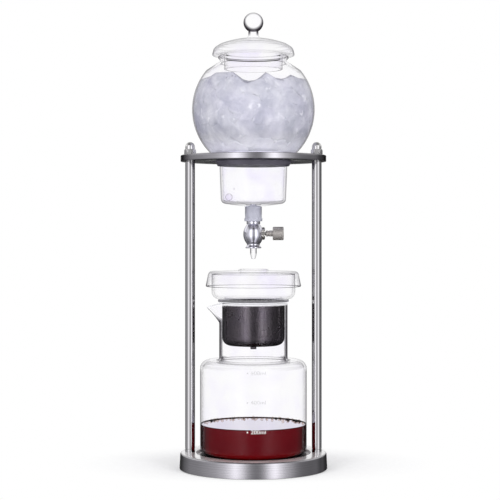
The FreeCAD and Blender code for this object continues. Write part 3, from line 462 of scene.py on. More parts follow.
# ---------------------------------------------------------------- finishes
class Finish:
    """A new material or world, with short ways to add its nodes."""

    def __init__(self, name, store="materials"):
        self.owner = getattr(bpy.data, store).new(name + "_finish")
        self.owner.use_nodes = True
        self.tree = self.owner.node_tree
        self.tree.nodes.clear()

    def add(self, kind, inputs=None, **settings):
        """Adds a shader node, sets its settings and fills its sockets."""
        node = self.tree.nodes.new("ShaderNode" + kind)
        for key, value in settings.items():
            setattr(node, key, value)
        for key, value in (inputs or {}).items():
            self.fill(node.inputs[key], value)
        return node

    def fill(self, socket, value):
        """Links another node's socket, or sets a plain value."""
        if isinstance(value, bpy.types.NodeSocket):
            self.tree.links.new(value, socket)
        elif socket.type == "RGBA" and len(value) == 3:
            socket.default_value = (*value, 1)
        else:
            socket.default_value = value

    def math(self, operation, first, second=0.0, third=0.0, clamp=False):
        """One step of arithmetic."""
        node = self.add("Math", {0: first, 1: second, 2: third}, operation=operation)
        node.use_clamp = clamp
        return node.outputs[0]

    def times(self, first, second):
        """Product of two values."""
        return self.math("MULTIPLY", first, second)

    def position(self):
        """Object coordinates in metres."""
        return self.add("TexCoord").outputs["Object"]

    def parts(self, vector=None):
        """The three parts of a vector or of the position."""
        return self.add("SeparateXYZ", {0: vector or self.position()}).outputs

    def slant(self):
        """0 where the surface faces the eye and 1 where it is seen edge on."""
        return self.add("LayerWeight", {"Blend": 0.5}).outputs["Facing"]

    def noise(self, scale, detail=2.0, rough=0.5, distortion=0.0, vector=None):
        """Cloudy value from 0 to 1."""
        return self.add("TexNoise", {
            "Vector": vector or self.position(), "Scale": scale, "Detail": detail,
            "Roughness": rough, "Distortion": distortion}).outputs[0]

    def between(self, value, low, high, start=0.0, end=1.0):
        """The value mapped from (start, end) to (low, high)."""
        return self.add("MapRange", {"Value": value, "From Min": start, "From Max": end,
                                     "To Min": low, "To Max": high}).outputs[0]

    def blended(self, share, low, high):
        """Colour between two colours."""
        return self.add("Mix", {0: share, 6: low, 7: high}, data_type="RGBA").outputs[2]

    def bump(self, height, strength, distance):
        """Normal that follows a height."""
        return self.add("Bump", {"Height": height, "Strength": strength,
                                 "Distance": distance}).outputs[0]

    def principled(self, **inputs):
        """Principled shader; base_color stands for Base Color, and so on."""
        named = {key.replace("_", " ").title().replace("Ior", "IOR"): value
                 for key, value in inputs.items()}
        return self.add("BsdfPrincipled", named).outputs[0]

    def bsdf(self, kind, color, **inputs):
        """Simple shader of this kind and colour."""
        return self.add("Bsdf" + kind, {"Color": color, **inputs}).outputs[0]

    def glow(self, color, strength):
        """Shader that shines."""
        return self.add("Emission", {"Color": color, "Strength": strength}).outputs[0]

    def mixed(self, share, first, second):
        """Two shaders mixed by a share of the second."""
        return self.add("MixShader", {0: share, 1: first, 2: second}).outputs[0]

    def both(self, first, second):
        """Sum of two shaders."""
        return self.add("AddShader", {0: first, 1: second}).outputs[0]

    def done(self, shader, output="OutputMaterial"):
        """Puts the shader on the output and gives the material or world."""
        self.add(output, {"Surface": shader})
        return self.owner

    def opaque(self, **inputs):
        """The material, made of one principled shader."""
        return self.done(self.principled(**inputs))


def shaded(color, factor):
    """The colour made darker or brighter, at most white."""
    return np.minimum(1, np.multiply(color, factor))


def spun_steel(name, color, slanted=1.0, painted_white_r=0.0):
    """Satin steel with fine rings left by the spinning tool, darker at a slant if asked, which is
    painted shade. Nearer to the axis than the given radius it is polished and painted whiter, a
    painted reflection of the white room."""
    finish = Finish(name)
    x, y, z = finish.parts()
    radius = finish.math("SQRT", finish.math("ADD", finish.times(x, x), finish.times(y, y)))
    across = finish.add("CombineXYZ", {0: radius, 1: z}).outputs[0]
    rings = finish.noise(1400, 3, 0.6, vector=across)
    cloud = finish.noise(28)
    shade = finish.blended(finish.between(rings, 0, 1, 0.3, 0.7), shaded(color, 0.86),
                           shaded(color, 1.1))
    metallic = 1.0
    if painted_white_r:
        # painted reflection: nearer the axis the steel is whiter and partly not metal, so it looks
        # like it mirrors the white room
        top = finish.between(radius, 1, 0, painted_white_r - 0.0008, painted_white_r + 0.0004)
        shade = finish.blended(top, shade, (0.95, 0.945, 0.955))
        metallic = finish.between(top, 1, 0.55)
    rough = finish.math("ADD", finish.between(rings, 0.12, 0.2), finish.between(cloud, 0, 0.04))
    # painted shade: a low edge tint darkens the steel seen at a slant
    return finish.opaque(base_color=shade, metallic=metallic, roughness=rough,
                         specular_tint=(slanted,) * 3, normal=finish.bump(rings, 0.05, 0.0001))


def polished_steel(name, color, roughness=0.07):
    """Bright steel with faint drawing lines and wiped smears."""
    finish = Finish(name)
    stretched = finish.add("Mapping", {"Vector": finish.position(), "Scale": (1, 1, 0.01)})
    lines = finish.noise(700, vector=stretched.outputs[0])
    shade = finish.blended(finish.between(lines, 0, 1, 0.35, 0.65), shaded(color, 0.94),
                           shaded(color, 1.04))
    rough = finish.between(finish.noise(60, 3), roughness * 0.7, roughness * 1.6, 0.35, 0.7)
    return finish.opaque(base_color=shade, metallic=1.0, roughness=rough)


def grained(name, dark, light, grain, rough, bump, metallic=0.0, bloom=0):
    """Grainy material: the noise's scale and detail give the grain, which changes the colour,
    the roughness and the height. With a bloom, larger patches change the colour instead."""
    finish = Finish(name)
    grain = finish.noise(*grain)
    share = finish.between(finish.noise(bloom), 0, 1, 0.3, 0.7) if bloom else grain
    return finish.opaque(
        base_color=finish.blended(share, dark, light), metallic=metallic,
        roughness=finish.between(grain, *rough), normal=finish.bump(grain, *bump))


def rubber(name, dark, light, roughness):
    """Moulded rubber or silicone with a fine bloom."""
    return grained(name, dark, light, (1500, 3), (roughness, roughness + 0.15), (0.12, 0.0002),
                   bloom=70)


def frosted_silicone(name, pale, deep, clearness):
    """Milky silicone that lets some of the light through."""
    finish = Finish(name)
    cloud = finish.noise(180, 3)
    body = finish.principled(base_color=finish.blended(cloud, deep, pale),
                             roughness=finish.between(cloud, 0.3, 0.45))
    share = finish.between(cloud, clearness * 0.7, clearness * 1.3)
    return finish.done(finish.mixed(share, body, finish.bsdf("Transparent", (0.95, 0.95, 0.97))))


def clear_glass(name, look, tint=None, milky=0.0):
    """Thin clear glass. Light passes with a faint tint; past the slant stored on the mesh the
    line of sight stays in the wall, and it turns dark. The surface mirrors 0.6% head on and
    more at a slant, by half the slant to the eighth power. Some glass is ground, which the
    mesh stores as frost, and water may be milky; these parts also glow at 0.3, painted light."""
    finish = Finish(name)
    slant = finish.slant()
    start, dark, frost = (finish.add("Attribute", attribute_name=key).outputs["Fac"]
                          for key in EDGE_VALUES)
    cloud = finish.noise(45)
    depth = finish.times(dark, finish.between(cloud, 0.8 * look.edge_strength,
                                              1.2 * look.edge_strength))
    ramp = finish.between(slant, 0, 1, start)
    edge = finish.math("MULTIPLY", finish.math("POWER", ramp, 0.7), depth, clamp=True)
    tint = tint or look.tint
    shade = finish.blended(finish.between(cloud, 0, 1, 0.45, 0.7), tint,
                           shaded(tint, (0.985, 0.98, 1.0)))
    through = finish.bsdf("Transparent", finish.blended(edge, shade, look.edge))
    mirror = finish.bsdf("Anisotropic", (1, 1, 1), Roughness=0.02)
    share = finish.math("MULTIPLY_ADD", finish.math("POWER", slant, 8.0), 0.5, 0.006)
    ground = finish.mixed(0.5, finish.bsdf("Diffuse", (0.97, 0.97, 1)),
                          finish.bsdf("Translucent", (0.97, 0.97, 1)))
    # painted light: the ground glass and milky water glow at 0.3 though no lamp is in them
    ground = finish.both(ground, finish.glow((1, 1, 1), 0.3))
    milk = finish.math("MAXIMUM", finish.times(frost, 0.8), milky)
    return finish.done(finish.mixed(milk, finish.mixed(share, through, mirror), ground))


def frosted_ice(name, look):
    """Melting ice: frosted and clearer patches, fine cracks, painted white glints and a wet gloss.
    Its foot is painted whiter and given a faint glow, painted light."""
    finish = Finish(name)
    patches = finish.noise(62, 3, 0.55, 0.5)
    cracks = finish.noise(230, 3, 0.6, 1.5)
    painted_glints = finish.noise(105, 2, 0.5, 0.8)
    height = finish.parts()[2]
    frost = finish.math("ADD", finish.between(patches, 0, 0.9, 0.32, 0.68),
                        finish.between(cracks, -0.15, 0.2), clamp=True)
    shade = finish.blended(frost, look.ice_deep, look.ice_pale)
    # painted highlight: white glints
    shade = finish.blended(finish.between(painted_glints, 0, 0.8, 0.62, 0.74), shade, (0.95, 0.95, 1.0))
    # painted light: whiter towards the foot
    shade = finish.blended(finish.between(height, 0.6, 0, 0.305, 0.325), shade, (1, 1, 1))
    body = finish.principled(base_color=shade, roughness=finish.between(cracks, 0.15, 0.45),
                             ior=1.31, normal=finish.bump(patches, 0.14, 0.002))
    white = finish.mixed(0.15, body, finish.bsdf("Translucent", shade))
    # painted light: a faint glow at the foot, though no lamp is in the ice
    painted_glow = finish.glow((0.9, 0.9, 1.0), finish.between(height, 0.34, 0, 0.302, 0.320))
    return finish.done(finish.mixed(finish.between(frost, 0.25, 0.1), finish.both(white, painted_glow),
                                    finish.bsdf("Transparent", (0.95,) * 3)))


def coffee_body(name, look):
    """Dark red coffee: painted shade at a slant and just under its surface, painted light at the
    bottom.
    """
    finish = Finish(name)
    height = finish.parts()[2]
    cloud = finish.noise(22)
    # painted light at the bottom (low), painted shade just under the surface (top) and at a slant
    # (edge)
    low = finish.between(height, 1, 0, 0.0145, 0.0215)
    top = finish.between(height, 0, 0.9, 0.0422, 0.0433)
    edge = finish.math("ADD", finish.between(finish.slant(), 0, 1, 0.42, 0.72),
                       finish.between(cloud, -0.08, 0.12), clamp=True)
    shade = finish.blended(low, look.coffee, look.coffee_glow)
    shade = finish.blended(finish.math("MAXIMUM", edge, top), shade, look.coffee_edge)
    return finish.opaque(base_color=shade, roughness=finish.between(cloud, 0.12, 0.2), ior=1.34,
                         specular_ior_level=0.15)


def coffee_top(name, look):
    """Coffee's surface: it mirrors the room, the more so at a slant."""
    finish = Finish(name)
    cloud = finish.noise(35, 3)
    deep = finish.blended(cloud, shaded(look.coffee, 0.3), look.coffee_edge)
    mirror = finish.bsdf("Anisotropic", (0.80, 0.78, 0.85),
                         Roughness=finish.between(cloud, 0.01, 0.06))
    share = finish.between(finish.slant(), 0.05, 1.0, 0.2, 0.86)
    return finish.done(finish.mixed(
        share, finish.principled(base_color=deep, roughness=0.1), mirror))


def coffee_grounds(name):
    """Coarse damp grounds."""
    finish = Finish(name)
    grain = finish.add("TexVoronoi", {"Vector": finish.position(), "Scale": 900.0}).outputs[0]
    return finish.opaque(
        base_color=finish.blended(grain, (0.03, 0.014, 0.008), (0.11, 0.055, 0.03)),
        roughness=0.55, normal=finish.bump(grain, 0.9, 0.001))


def creped_paper(name):
    """Thin creped paper with a coffee stain."""
    finish = Finish(name)
    stain = finish.between(finish.noise(50, 3), 0, 0.8, 0.45, 0.65)
    return finish.opaque(
        base_color=finish.blended(stain, (0.83, 0.80, 0.74), (0.45, 0.30, 0.19)),
        roughness=0.85, normal=finish.bump(finish.noise(700, 5, 0.7), 0.4, 0.0003))


def volume_ink(name, shade):
    """Pale fired-on ink of the volume marks, worn in places."""
    finish = Finish(name)
    wear = finish.noise(1800, 3)
    color = finish.blended(wear, (0.85 * shade,) * 3, shaded((shade,) * 3, (1, 1, 1.04)))
    return finish.done(finish.mixed(
        finish.between(wear, 0, 0.3, 0.4, 0.7), finish.principled(base_color=color, roughness=0.5),
        finish.bsdf("Transparent", (1, 1, 1))))


def finish_of(make, name, *arguments):
    """The material of this name, made by the function if it isn't there yet."""
    return bpy.data.materials.get(name + "_finish") or make(name, *arguments)


def bare(node, material):
    """Gives a CAD node that stays a better material."""
    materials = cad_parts[node].data.materials
    materials.clear()
    materials.append(material)


def tower(context):
    """The tower's settings."""
    return context.scene.drip_tower


def clear(context):
    """The glass of the globe, the carafe, the bowl and the lids."""
    return finish_of(clear_glass, "clear_glass", tower(context).glass)


def plated():
    """The zinc-plated steel of screws and rods."""
    return finish_of(polished_steel, "plated_steel", (0.6, 0.59, 0.56), 0.22)


def black_rubber():
    """The rubber of the foot ring and the mat."""
    return finish_of(rubber, "black_rubber", (0.012, 0.012, 0.014), (0.03, 0.03, 0.034), 0.5)


# ---------------------------------------------------------------- stand
class TOWER_OT_base(bpy.types.Operator):
    """Spun base with its iron weight, cover, foot ring and mat"""

    bl_idname = "tower.base"
    bl_label = "Base"

    def execute(self, context):
        inner_r, inner_z = RECESS_R + SHEET_WALL, LAND_Z - SHEET_WALL
        shell = soften([
            (0, RECESS_Z), (RECESS_R, RECESS_Z, 0.4), (RECESS_R, LAND_Z, 0.6),
            (BASE_TOP_R, LAND_Z, 1.6), (BASE_FOOT_R, SHELL_Z, 0.3),
            (BASE_FOOT_R - SHEET_WALL, SHELL_Z, 0.3), (BASE_TOP_R - SHEET_WALL, inner_z),
            (inner_r, inner_z), (inner_r, RECESS_Z - SHEET_WALL), (0, RECESS_Z - SHEET_WALL)])
        # the top within this radius gets the painted reflection of the white room
        steel = finish_of(spun_steel, "spun_steel", tower(context).steel.brushed, 1.0,
                          (BASE_TOP_R - 1.0) * MM)
        turned_piece("base_dish", shell, steel, "stand", "brushed_steel", "base_shell",
                     loop=False, sides=192)
        mat = soften([(0, RECESS_Z), (MAT_R, RECESS_Z), (MAT_R, MAT_TOP_Z, 0.3), (0, MAT_TOP_Z)])
        turned_piece("recess_mat", mat, black_rubber(), "stand", "dark_rubber", "carafe_mat",
                     loop=False)
        foot = np.array([
            (FOOT_IN_R, FOOT_TOP_Z), (FOOT_IN_R, 0.3), (FOOT_IN_R + 0.3, 0),
            (FOOT_OUT_R - 0.3, 0), (FOOT_OUT_R, 0.3), (FOOT_OUT_R, FOOT_TOP_Z)])
        turned_piece("foot_band", foot, black_rubber(), "stand", "dark_rubber", "foot_ring")
        bare("base_weight", finish_of(
            grained, "cast_iron", (0.05, 0.05, 0.052), (0.12, 0.115, 0.11), (900, 5, 0.65),
            (0.55, 0.8), (0.5, 0.0004), 0.7))
        bare("base_cover", finish_of(
            grained, "black_paint", (0.018, 0.018, 0.02), (0.035, 0.035, 0.038), (2200, 2),
            (0.42, 0.6), (0.2, 0.0002)))
        for node in ("cover_screws", "tie_rods", "base_washers", "base_nuts"):
            bare(node, plated())
        return {"FINISHED"}


class TOWER_OT_posts(bpy.types.Operator):
    """Two polished posts with the washers and cap nuts on the plate"""

    bl_idname = "tower.posts"
    bl_label = "Posts and cap nuts"

    def execute(self, context):
        groove_r = POST_R - GROOVE_DEPTH
        tube = np.array([
            (POST_R, LAND_Z), (POST_R, GROOVE_Z), (groove_r, GROOVE_Z + 0.2),
            (groove_r, GROOVE_TOP_Z - 0.2), (POST_R, GROOVE_TOP_Z), (POST_R, PLATE_Z),
            (POST_BORE_R, PLATE_Z), (POST_BORE_R, LAND_Z)])
        steel = finish_of(polished_steel, "bright_steel", tower(context).steel.polished)
        aside = np.array([POST_X, 0, 0])
        for side, name in ((-1, "left"), (1, "right")):
            place(grid_mesh("tube_" + name, turned(tube, 96) + side * aside), steel, "stand",
                  "polished_steel", "post_" + name)
        washer = soften([(3.1, PLATE_TOP_Z), (6.1, PLATE_TOP_Z, 0.15), (6.1, WASHER_TOP_Z, 0.25),
                         (3.1, WASHER_TOP_Z)])
        nut = np.array([(0, 9), (3.05, 9), (3.05, 0), (5.2, 0), (9, 0.35), (9, 4.4), (5.35, 4.7),
                        (5.0, 5.0), (NUT_CROWN_R, 5.1)]) + (0, WASHER_TOP_Z)
        crown_z = WASHER_TOP_Z + NUT_HEIGHT - NUT_CROWN_R
        nut = np.concatenate([nut, arc_points(crown_z, NUT_CROWN_R, 0, math.pi / 2, 12)])
        steel = finish_of(polished_steel, "nut_steel", (0.82, 0.81, 0.80), 0.22)
        for name, points, loop, node in (
                ("cap_washers", turned(washer, 64), True, "plate_washers"),
                ("crown_nuts", hexagonal(nut, 10.0), False, "cap_nuts")):
            mesh = grid_mesh(name, np.stack([points - aside, points + aside]), loop, sharp=30)
            place(mesh, steel, "stand", "polished_steel", node)
        return {"FINISHED"}


class TOWER_OT_plate(bpy.types.Operator):
    """Ring plate and the rubber seat of the globe"""

    bl_idname = "tower.plate"
    bl_label = "Plate and seat"

    def execute(self, context):
        plate = soften([(PLATE_HOLE_R, PLATE_Z, 0.2), (PLATE_R, PLATE_Z, 0.4),
                        (PLATE_R, PLATE_TOP_Z, 0.7), (PLATE_HOLE_R, PLATE_TOP_Z, 0.2)])
        # painted shade: an edge tint of 0.25 darkens the plate's ends seen at a slant
        steel = finish_of(spun_steel, "plate_steel", tower(context).steel.plate, 0.25)
        turned_piece("ring_plate", plate, steel, "stand", "brushed_steel", "top_plate", sides=192)
        hollow = ball_arc(GLOBE_Z, GLOBE_R + 0.35, 33.5, GLOBE_R, 64)
        hollow = hollow[hollow[:, 1] < SEAT_TOP_Z - 0.1][::-1]
        seat = soften([
            (33.45, SEAT_Z, 0.3), (34.8, SEAT_Z, 0.4), (36.9, 297.2, 0.5), (SEAT_R, PLATE_Z),
            (SEAT_R, SEAT_FLANGE_Z), (SEAT_FLANGE_R, SEAT_FLANGE_Z),
            (SEAT_FLANGE_R, SEAT_TOP_Z, 0.3), *hollow])
        turned_piece("globe_seat", seat, finish_of(
            rubber, "seat_rubber", (0.075, 0.07, 0.095), (0.12, 0.11, 0.145), 0.35),
            "stand", "dark_rubber", "seat_ring")
        return {"FINISHED"}


# ---------------------------------------------------------------- tank
def globe_outside():
    """Outside of the globe from its outlet's lip up to its mouth's lip."""
    return soften([
        (9.0, OUTLET_Z), (9.0, OUTLET_Z + 1.2, 0.4), (OUTLET_R, 243.1, 0.8),
        (OUTLET_R, 253.9, 1.2), (NECK_R, NECK_Z, 4.85),
        *ball_arc(GLOBE_Z, GLOBE_R, NECK_TOP_R, SHOULDER_R), (MOUTH_R, MOUTH_Z, 2.2),
        (MOUTH_R, 395.9, 0.4), (LIP_R, LIP_Z - 1.5, 0.9), (LIP_R, LIP_Z)])


class TOWER_OT_globe(bpy.types.Operator):
    """Blown glass globe with its outlet tube"""

    bl_idname = "tower.globe"
    bl_label = "Globe"

    def execute(self, context):
        outside = globe_outside()
        line = walled(outside, np.where(outside[:, 1] < OUTLET_TOP_Z, OUTLET_WALL, GLASS_WALL))
        start, dark = glass_edges(line, True)
        radius, height = line.T
        dark[height < OUTLET_TOP_Z] = 0.12
        dark[(height > 255) & (height < 300)] = 0.5
        dark[height > LIP_Z - 3.2] = 0.15
        flank = (radius > LIP_R - 0.2) & (np.abs(height - LIP_Z + 0.8) < 0.9)
        start[flank], dark[flank] = 0.6, 1.2
        turned_piece("globe", line, clear(context), "tank", "clear_glass", "tank_globe",
                     sides=192, edges=(start, dark))
        return {"FINISHED"}


class TOWER_OT_water(bpy.types.Operator):
    """Melt water in the globe's neck, with a few air bubbles"""

    bl_idname = "tower.water"
    bl_label = "Melt water"

    def execute(self, context):
        look = tower(context).glass
        # the glass's inside from the neck's floor up to the water's edge
        outside = globe_outside()
        outside = outside[(outside[:, 1] > OUTLET_TOP_Z + 1) & (outside[:, 1] < WATER_TOP_Z)]
        inside = inset(outside, GLASS_WALL + FILM)
        inside = inside[inside[:, 1] > WATER_Z - 0.6]
        reach, top_z = inside[-1]
        level = top_z - 0.9
        line = np.concatenate([
            [(0, WATER_Z), (4.0, WATER_Z)], inside,
            [(reach - 1.2, top_z - 0.6), (reach - 3, level), (reach - 3.2, level), (0, level)]])
        # its milky share of 0.05 takes the ground glass's painted glow
        water = finish_of(clear_glass, "melt_water", look, (0.994, 0.992, 1.0), 0.05)
        turned_piece("neck_water", line, water, "tank", "melt_water", "tank_water",
                     loop=False, edges=glass_edges(line, False, 0.3, 0.3))
        places = np.array([(-23.5, -14.0, 262.5), (-18.5, -16.5, 270.5), (9.5, -22.0, 300.0),
                           (17.0, -17.0, 291.0), (-10.0, -22.0, 297.5), (21.0, -12.0, 275.0)])
        sizes = np.array([3.4, 0.9, 1.1, 0.8, 1.3, 0.7])
        air = finish_of(clear_glass, "water_bubble", look, (0.97, 0.96, 0.98))
        place(grid_mesh("air_bubbles", balls(places, sizes), loop=False, edges=BUBBLE_EDGE),
              air, "tank", "melt_water")
        return {"FINISHED"}


class TOWER_OT_ice(bpy.types.Operator):
    """Heap of melting ice cubes pressed against the globe"""

    bl_idname = "tower.ice"
    bl_label = "Ice"

    def execute(self, context):
        look = tower(context).liquid
        random = np.random.default_rng(look.seed)
        edge = look.cube / MM
        cubes = self.cubes(self.centres(edge * ICE_PITCH, random), edge * ICE_HALF, random)
        place(grid_mesh("ice_heap", cubes, loop=False, sharp=180),
              finish_of(frosted_ice, "frosted_ice", look), "tank", "ice", "ice_cubes")
        return {"FINISHED"}

    @staticmethod
    def centres(pitch, random):
        """Places of the cubes: rings in layers, each layer turned and each place shaken."""
        places = []
        for layer in range(ICE_LAYERS):
            height = ICE_FIRST_Z + pitch * 0.95 * layer
            reach = math.sqrt(max(ICE_ROOM_R ** 2 - (height - GLOBE_Z) ** 2, 0)) - pitch * 0.42
            for ring in np.arange(reach, 0, -pitch):
                count = max(1, int(2 * math.pi * ring / pitch))
                places.append(around(ring, 0.65 * layer + circle(count), height))
        places = np.concatenate(places)
        return places + random.uniform(-1, 1, places.shape) * (2.6, 2.6, 3.0)

    @staticmethod
    def cubes(centres, half, random):
        """Melted cubes: a super-ellipsoid, whose sines and cosines are raised to 0.42, with
        waves of 5% on its surface, turned at random, held inside the globe's ball and under
        the heap's uneven top."""
        count = len(centres)
        rise = np.linspace(-math.pi / 2, math.pi / 2, 22)[:, None]
        turn = circle(36)

        def blunt(value):
            """The value's size raised to 0.42, with its sign."""
            return np.sign(value) * np.abs(value) ** 0.42

        shape = np.stack(np.broadcast_arrays(
            blunt(np.cos(rise)) * blunt(np.cos(turn)), blunt(np.cos(rise)) * blunt(np.sin(turn)),
            blunt(np.sin(rise))), axis=-1)
        size = half * random.uniform(0.82, 1.12, (count, 3))
        points = shape[None] * size[:, None, None]
        wave = random.uniform(0.18, 0.42, (count, 1, 1, 3))
        phase = random.uniform(0, 6.28, (count, 1, 1))
        points = points * (1 + 0.05 * np.sin((points * wave).sum(-1) * 2.2 + phase)[..., None])
        turns = np.linalg.qr(random.normal(size=(count, 3, 3)))[0]
        points = np.einsum("nij,nabj->nabi", turns, points) + centres[:, None, None]
        away = points - (0, 0, GLOBE_Z)
        far = np.linalg.norm(away, axis=-1, keepdims=True)
        x, y, z = np.moveaxis(away * np.minimum(1, ICE_ROOM_R / far), -1, 0)
        top = np.interp(x, *zip(*HEAP_TOP)) + 0.1 * y + 0.7 * np.sin(y * 0.21 + x * 0.33)
        z = np.clip(z + GLOBE_Z, ICE_Z, np.minimum(top, ICE_TOP_Z))
        return np.stack([x, y, z], axis=-1)


class TOWER_OT_tank_lid(bpy.types.Operator):
    """Hollow glass lid with its collar and ball knob"""

    bl_idname = "tower.tank_lid"
    bl_label = "Globe's lid"

    def execute(self, context):
        lowest = -math.acos(KNOB_NECK_R / KNOB_BALL_R)
        ball = arc_points(KNOB_BALL_Z, KNOB_BALL_R, math.pi / 2, lowest, 28)
        collar_in_r, rim_in_r = LID_COLLAR_R - GLASS_WALL, LID_RIM_R - GLASS_WALL
        under_z = LID_Z + GLASS_WALL
        line = soften([
            *ball, (KNOB_NECK_R, 419.4, 1.2), *self.crown(LID_CROWN_R, 6.9, 32.5),
            (38.3, 407.4, 6.0), (LID_RIM_R, 402.0, 2.0), (LID_RIM_R, LID_Z, 0.7),
            (LID_COLLAR_R, LID_Z, 0.5), (LID_COLLAR_R, LID_COLLAR_Z, 0.9),
            (collar_in_r, LID_COLLAR_Z, 0.9), (collar_in_r, under_z, 0.8),
            (rim_in_r, under_z, 0.8), (36.4, 406.6, 4.0),
            *self.crown(LID_CROWN_R - GLASS_WALL, 31.6, 0)])
        start, dark = glass_edges(line, False, dark=0.385)
        radius, height = line.T
        dark[radius > LID_RIM_R - 1.2] = 0.8
        dark[(height > LID_Z - 1) & (height < LID_Z + 0.5)] = 0.12
        in_ball = height > KNOB_BALL_Z - KNOB_BALL_R
        low = (KNOB_BALL_Z - height[in_ball]) / KNOB_BALL_R
        start[in_ball] = 0.42 - 0.3 * np.clip(low + 0.4, 0, 1)
        dark[in_ball] = np.clip(1.5 + 1.1 * low, 0.5, 2.4)
        dark[(np.abs(height - LID_Z - 1) < 3.5) & (radius < LID_RIM_R - 2.3)] = 0.22
        turned_piece("globe_lid", line, clear(context), "tank_lid", "clear_glass", "tank_lid",
                     loop=False, sides=160, edges=(start, dark))
        return {"FINISHED"}

    @staticmethod
    def crown(radius, start, end):
        """Points of the crown's arc from one distance to another."""
        reach = np.linspace(start, end, 24)
        return np.stack([reach, LID_TOP_Z - LID_CROWN_R + np.sqrt(radius ** 2 - reach ** 2)], 1)


# ---------------------------------------------------------------- valve
class TOWER_OT_valve(bpy.types.Operator):
    """Stopper, valve body, packing nut and drip tip"""

    bl_idname = "tower.valve"
    bl_label = "Drip valve"

    def execute(self, context):
        stopper = soften([(3.05, STOPPER_Z), (8.6, STOPPER_Z, 0.4), (8.6, 240.65, 0.3),
                          (8.5, 240.75), (8.5, 242.2, 0.5), (8.0, 243.2), (8.0, 253.8, 0.6),
                          (3.05, 255.0)])
        milky = finish_of(frosted_silicone, "stopper_silicone", (0.47, 0.475, 0.55),
                          (0.40, 0.405, 0.475), 0.05)
        turned_piece("silicone_stopper", stopper, milky, "tank", "pale_silicone", "tank_stopper")
        chrome = finish_of(polished_steel, "valve_chrome", (0.88, 0.87, 0.95), 0.14)
        place(self.body(), chrome, "tank", "valve_chrome", "valve_body")
        start, end = PACKING_NUT_X, PACKING_NUT_END_X
        nut = soften([(2.05, start), (5.5, start), (9, start + 0.6), (9, end - 0.9),
                      (5.3, end, 0.15), (2.6, end, 0.2), (2.05, end - 0.5)], 4)
        nickel = finish_of(polished_steel, "satin_nickel", (0.66, 0.64, 0.60), 0.28)
        place(grid_mesh("needle_nut", on_x_axis(hexagonal(nut, 10.6), NEEDLE_Z), sharp=30),
              nickel, "tank", "valve_chrome", "packing_nut")
        tip = subdivided(soften([(1.0, TIP_Z, 0.3), (1.9, TIP_Z, 0.45), (TIP_R, 207.6, 2.5),
                                 (TIP_R, TIP_TOP_Z), (1.0, TIP_TOP_Z)]), 0.6)
        start, _ = glass_edges(tip, True, 1.3)
        upper = tip[:, 1] > 208.2
        edges = np.where(upper, 0.15, start), np.where(upper, 1.5, 0.6)
        turned_piece("drip_nozzle", tip, clear(context), "tank", "clear_glass", "drip_tip",
                     sides=64, edges=edges)
        bare("valve_packing", finish_of(rubber, "packing_wax", (0.7, 0.7, 0.68),
                                        (0.85, 0.85, 0.82), 0.4))
        return {"FINISHED"}

    @staticmethod
    def body():
        """Turned egg with its collar, waist and foot. The egg's radius is 9.8 - 3.55 |s|^2.15
        at the height 9.6 s from its middle. Behind the packing nut it is flattened, and round
        the needle it is drawn in past the axis."""
        rise = np.linspace(-1, 1, 40)
        egg = np.stack([9.8 - 3.55 * np.abs(rise) ** 2.15, EGG_Z + 9.6 * rise], axis=1)
        points = turned(soften([
            (0, TIP_TOP_Z), (3.2, TIP_TOP_Z), (3.2, VALVE_Z), (7.6, VALVE_Z, 0.4),
            (7.6, 214.3, 0.3), (6.2, 216.3, 1.0), *egg, (6.6, 237.1, 0.2),
            (6.6, STOPPER_Z, 0.3), (3.0, STOPPER_Z), (3.0, 256.0), (1.0, 256.0), (1.0, 232.0),
            (0, 232.0)]))
        x, y, z = np.moveaxis(points, -1, 0)
        aside = np.hypot(y, z - NEEDLE_Z)
        flat = np.where((x > 0) & (aside < VALVE_FACE_R), np.minimum(x, VALVE_FACE_X), x)
        bored = np.where((x > 0) & (aside < NEEDLE_BORE_R), NEEDLE_BORE_X, flat)
        return grid_mesh("valve_egg", np.stack([bored, y, z], axis=-1), loop=False)


class TOWER_OT_knob(bpy.types.Operator):
    """Knurled knob with its neck, needle and set screw"""

    bl_idname = "tower.knob"
    bl_label = "Valve knob"

    def execute(self, context):
        start, head, end = KNOB_X, KNOB_HEAD_X, KNOB_END_X
        line = subdivided(soften([
            (2.05, start), (2.9, start, 0.2), (2.9, 14.2, 0.1), (2.5, 14.5, 0.1),
            (2.5, 15.1, 0.1), (2.9, 15.4, 0.1), (2.9, head, 0.2), (6.0, head, 0.1),
            (KNOB_R, head + 0.5, 0.1), (KNOB_R, end - 0.5, 0.1), (6.0, end, 0.1), (2.0, end, 0.1),
            (1.4, end - 0.35), (0.4, end - 0.35)], 4), KNURL_DEPTH)
        line = np.concatenate([[(0, 27.7), (2.05, 27.7)], line, [(0, end - 0.35)]])
        sides = 240
        turn, along = 30 * circle(sides), 4.2 * line[:, 1:]
        ridges = np.abs(np.sin(turn + along)) * np.abs(np.sin(turn - along))
        knurl = (line[:, :1] > KNOB_R - 0.15) * KNURL_DEPTH * (ridges - 1)
        points = turned(line, sides)
        points[..., :2] *= (1 + knurl / KNOB_R)[..., None]
        color = tower(context).steel.knurled
        steel = finish_of(grained, "knurled_steel", shaded(color, 0.8), shaded(color, 1.15),
                          (4200,), (0.42, 0.6), (0.25, 0.0001), 0.85)
        place(grid_mesh("knob_grip", on_x_axis(points, NEEDLE_Z), loop=False, sharp=60), steel,
              "valve_knob", "knurled_steel", "valve_knob")
        for node in ("valve_needle", "knob_set_screw"):
            bare(node, plated())
        return {"FINISHED"}


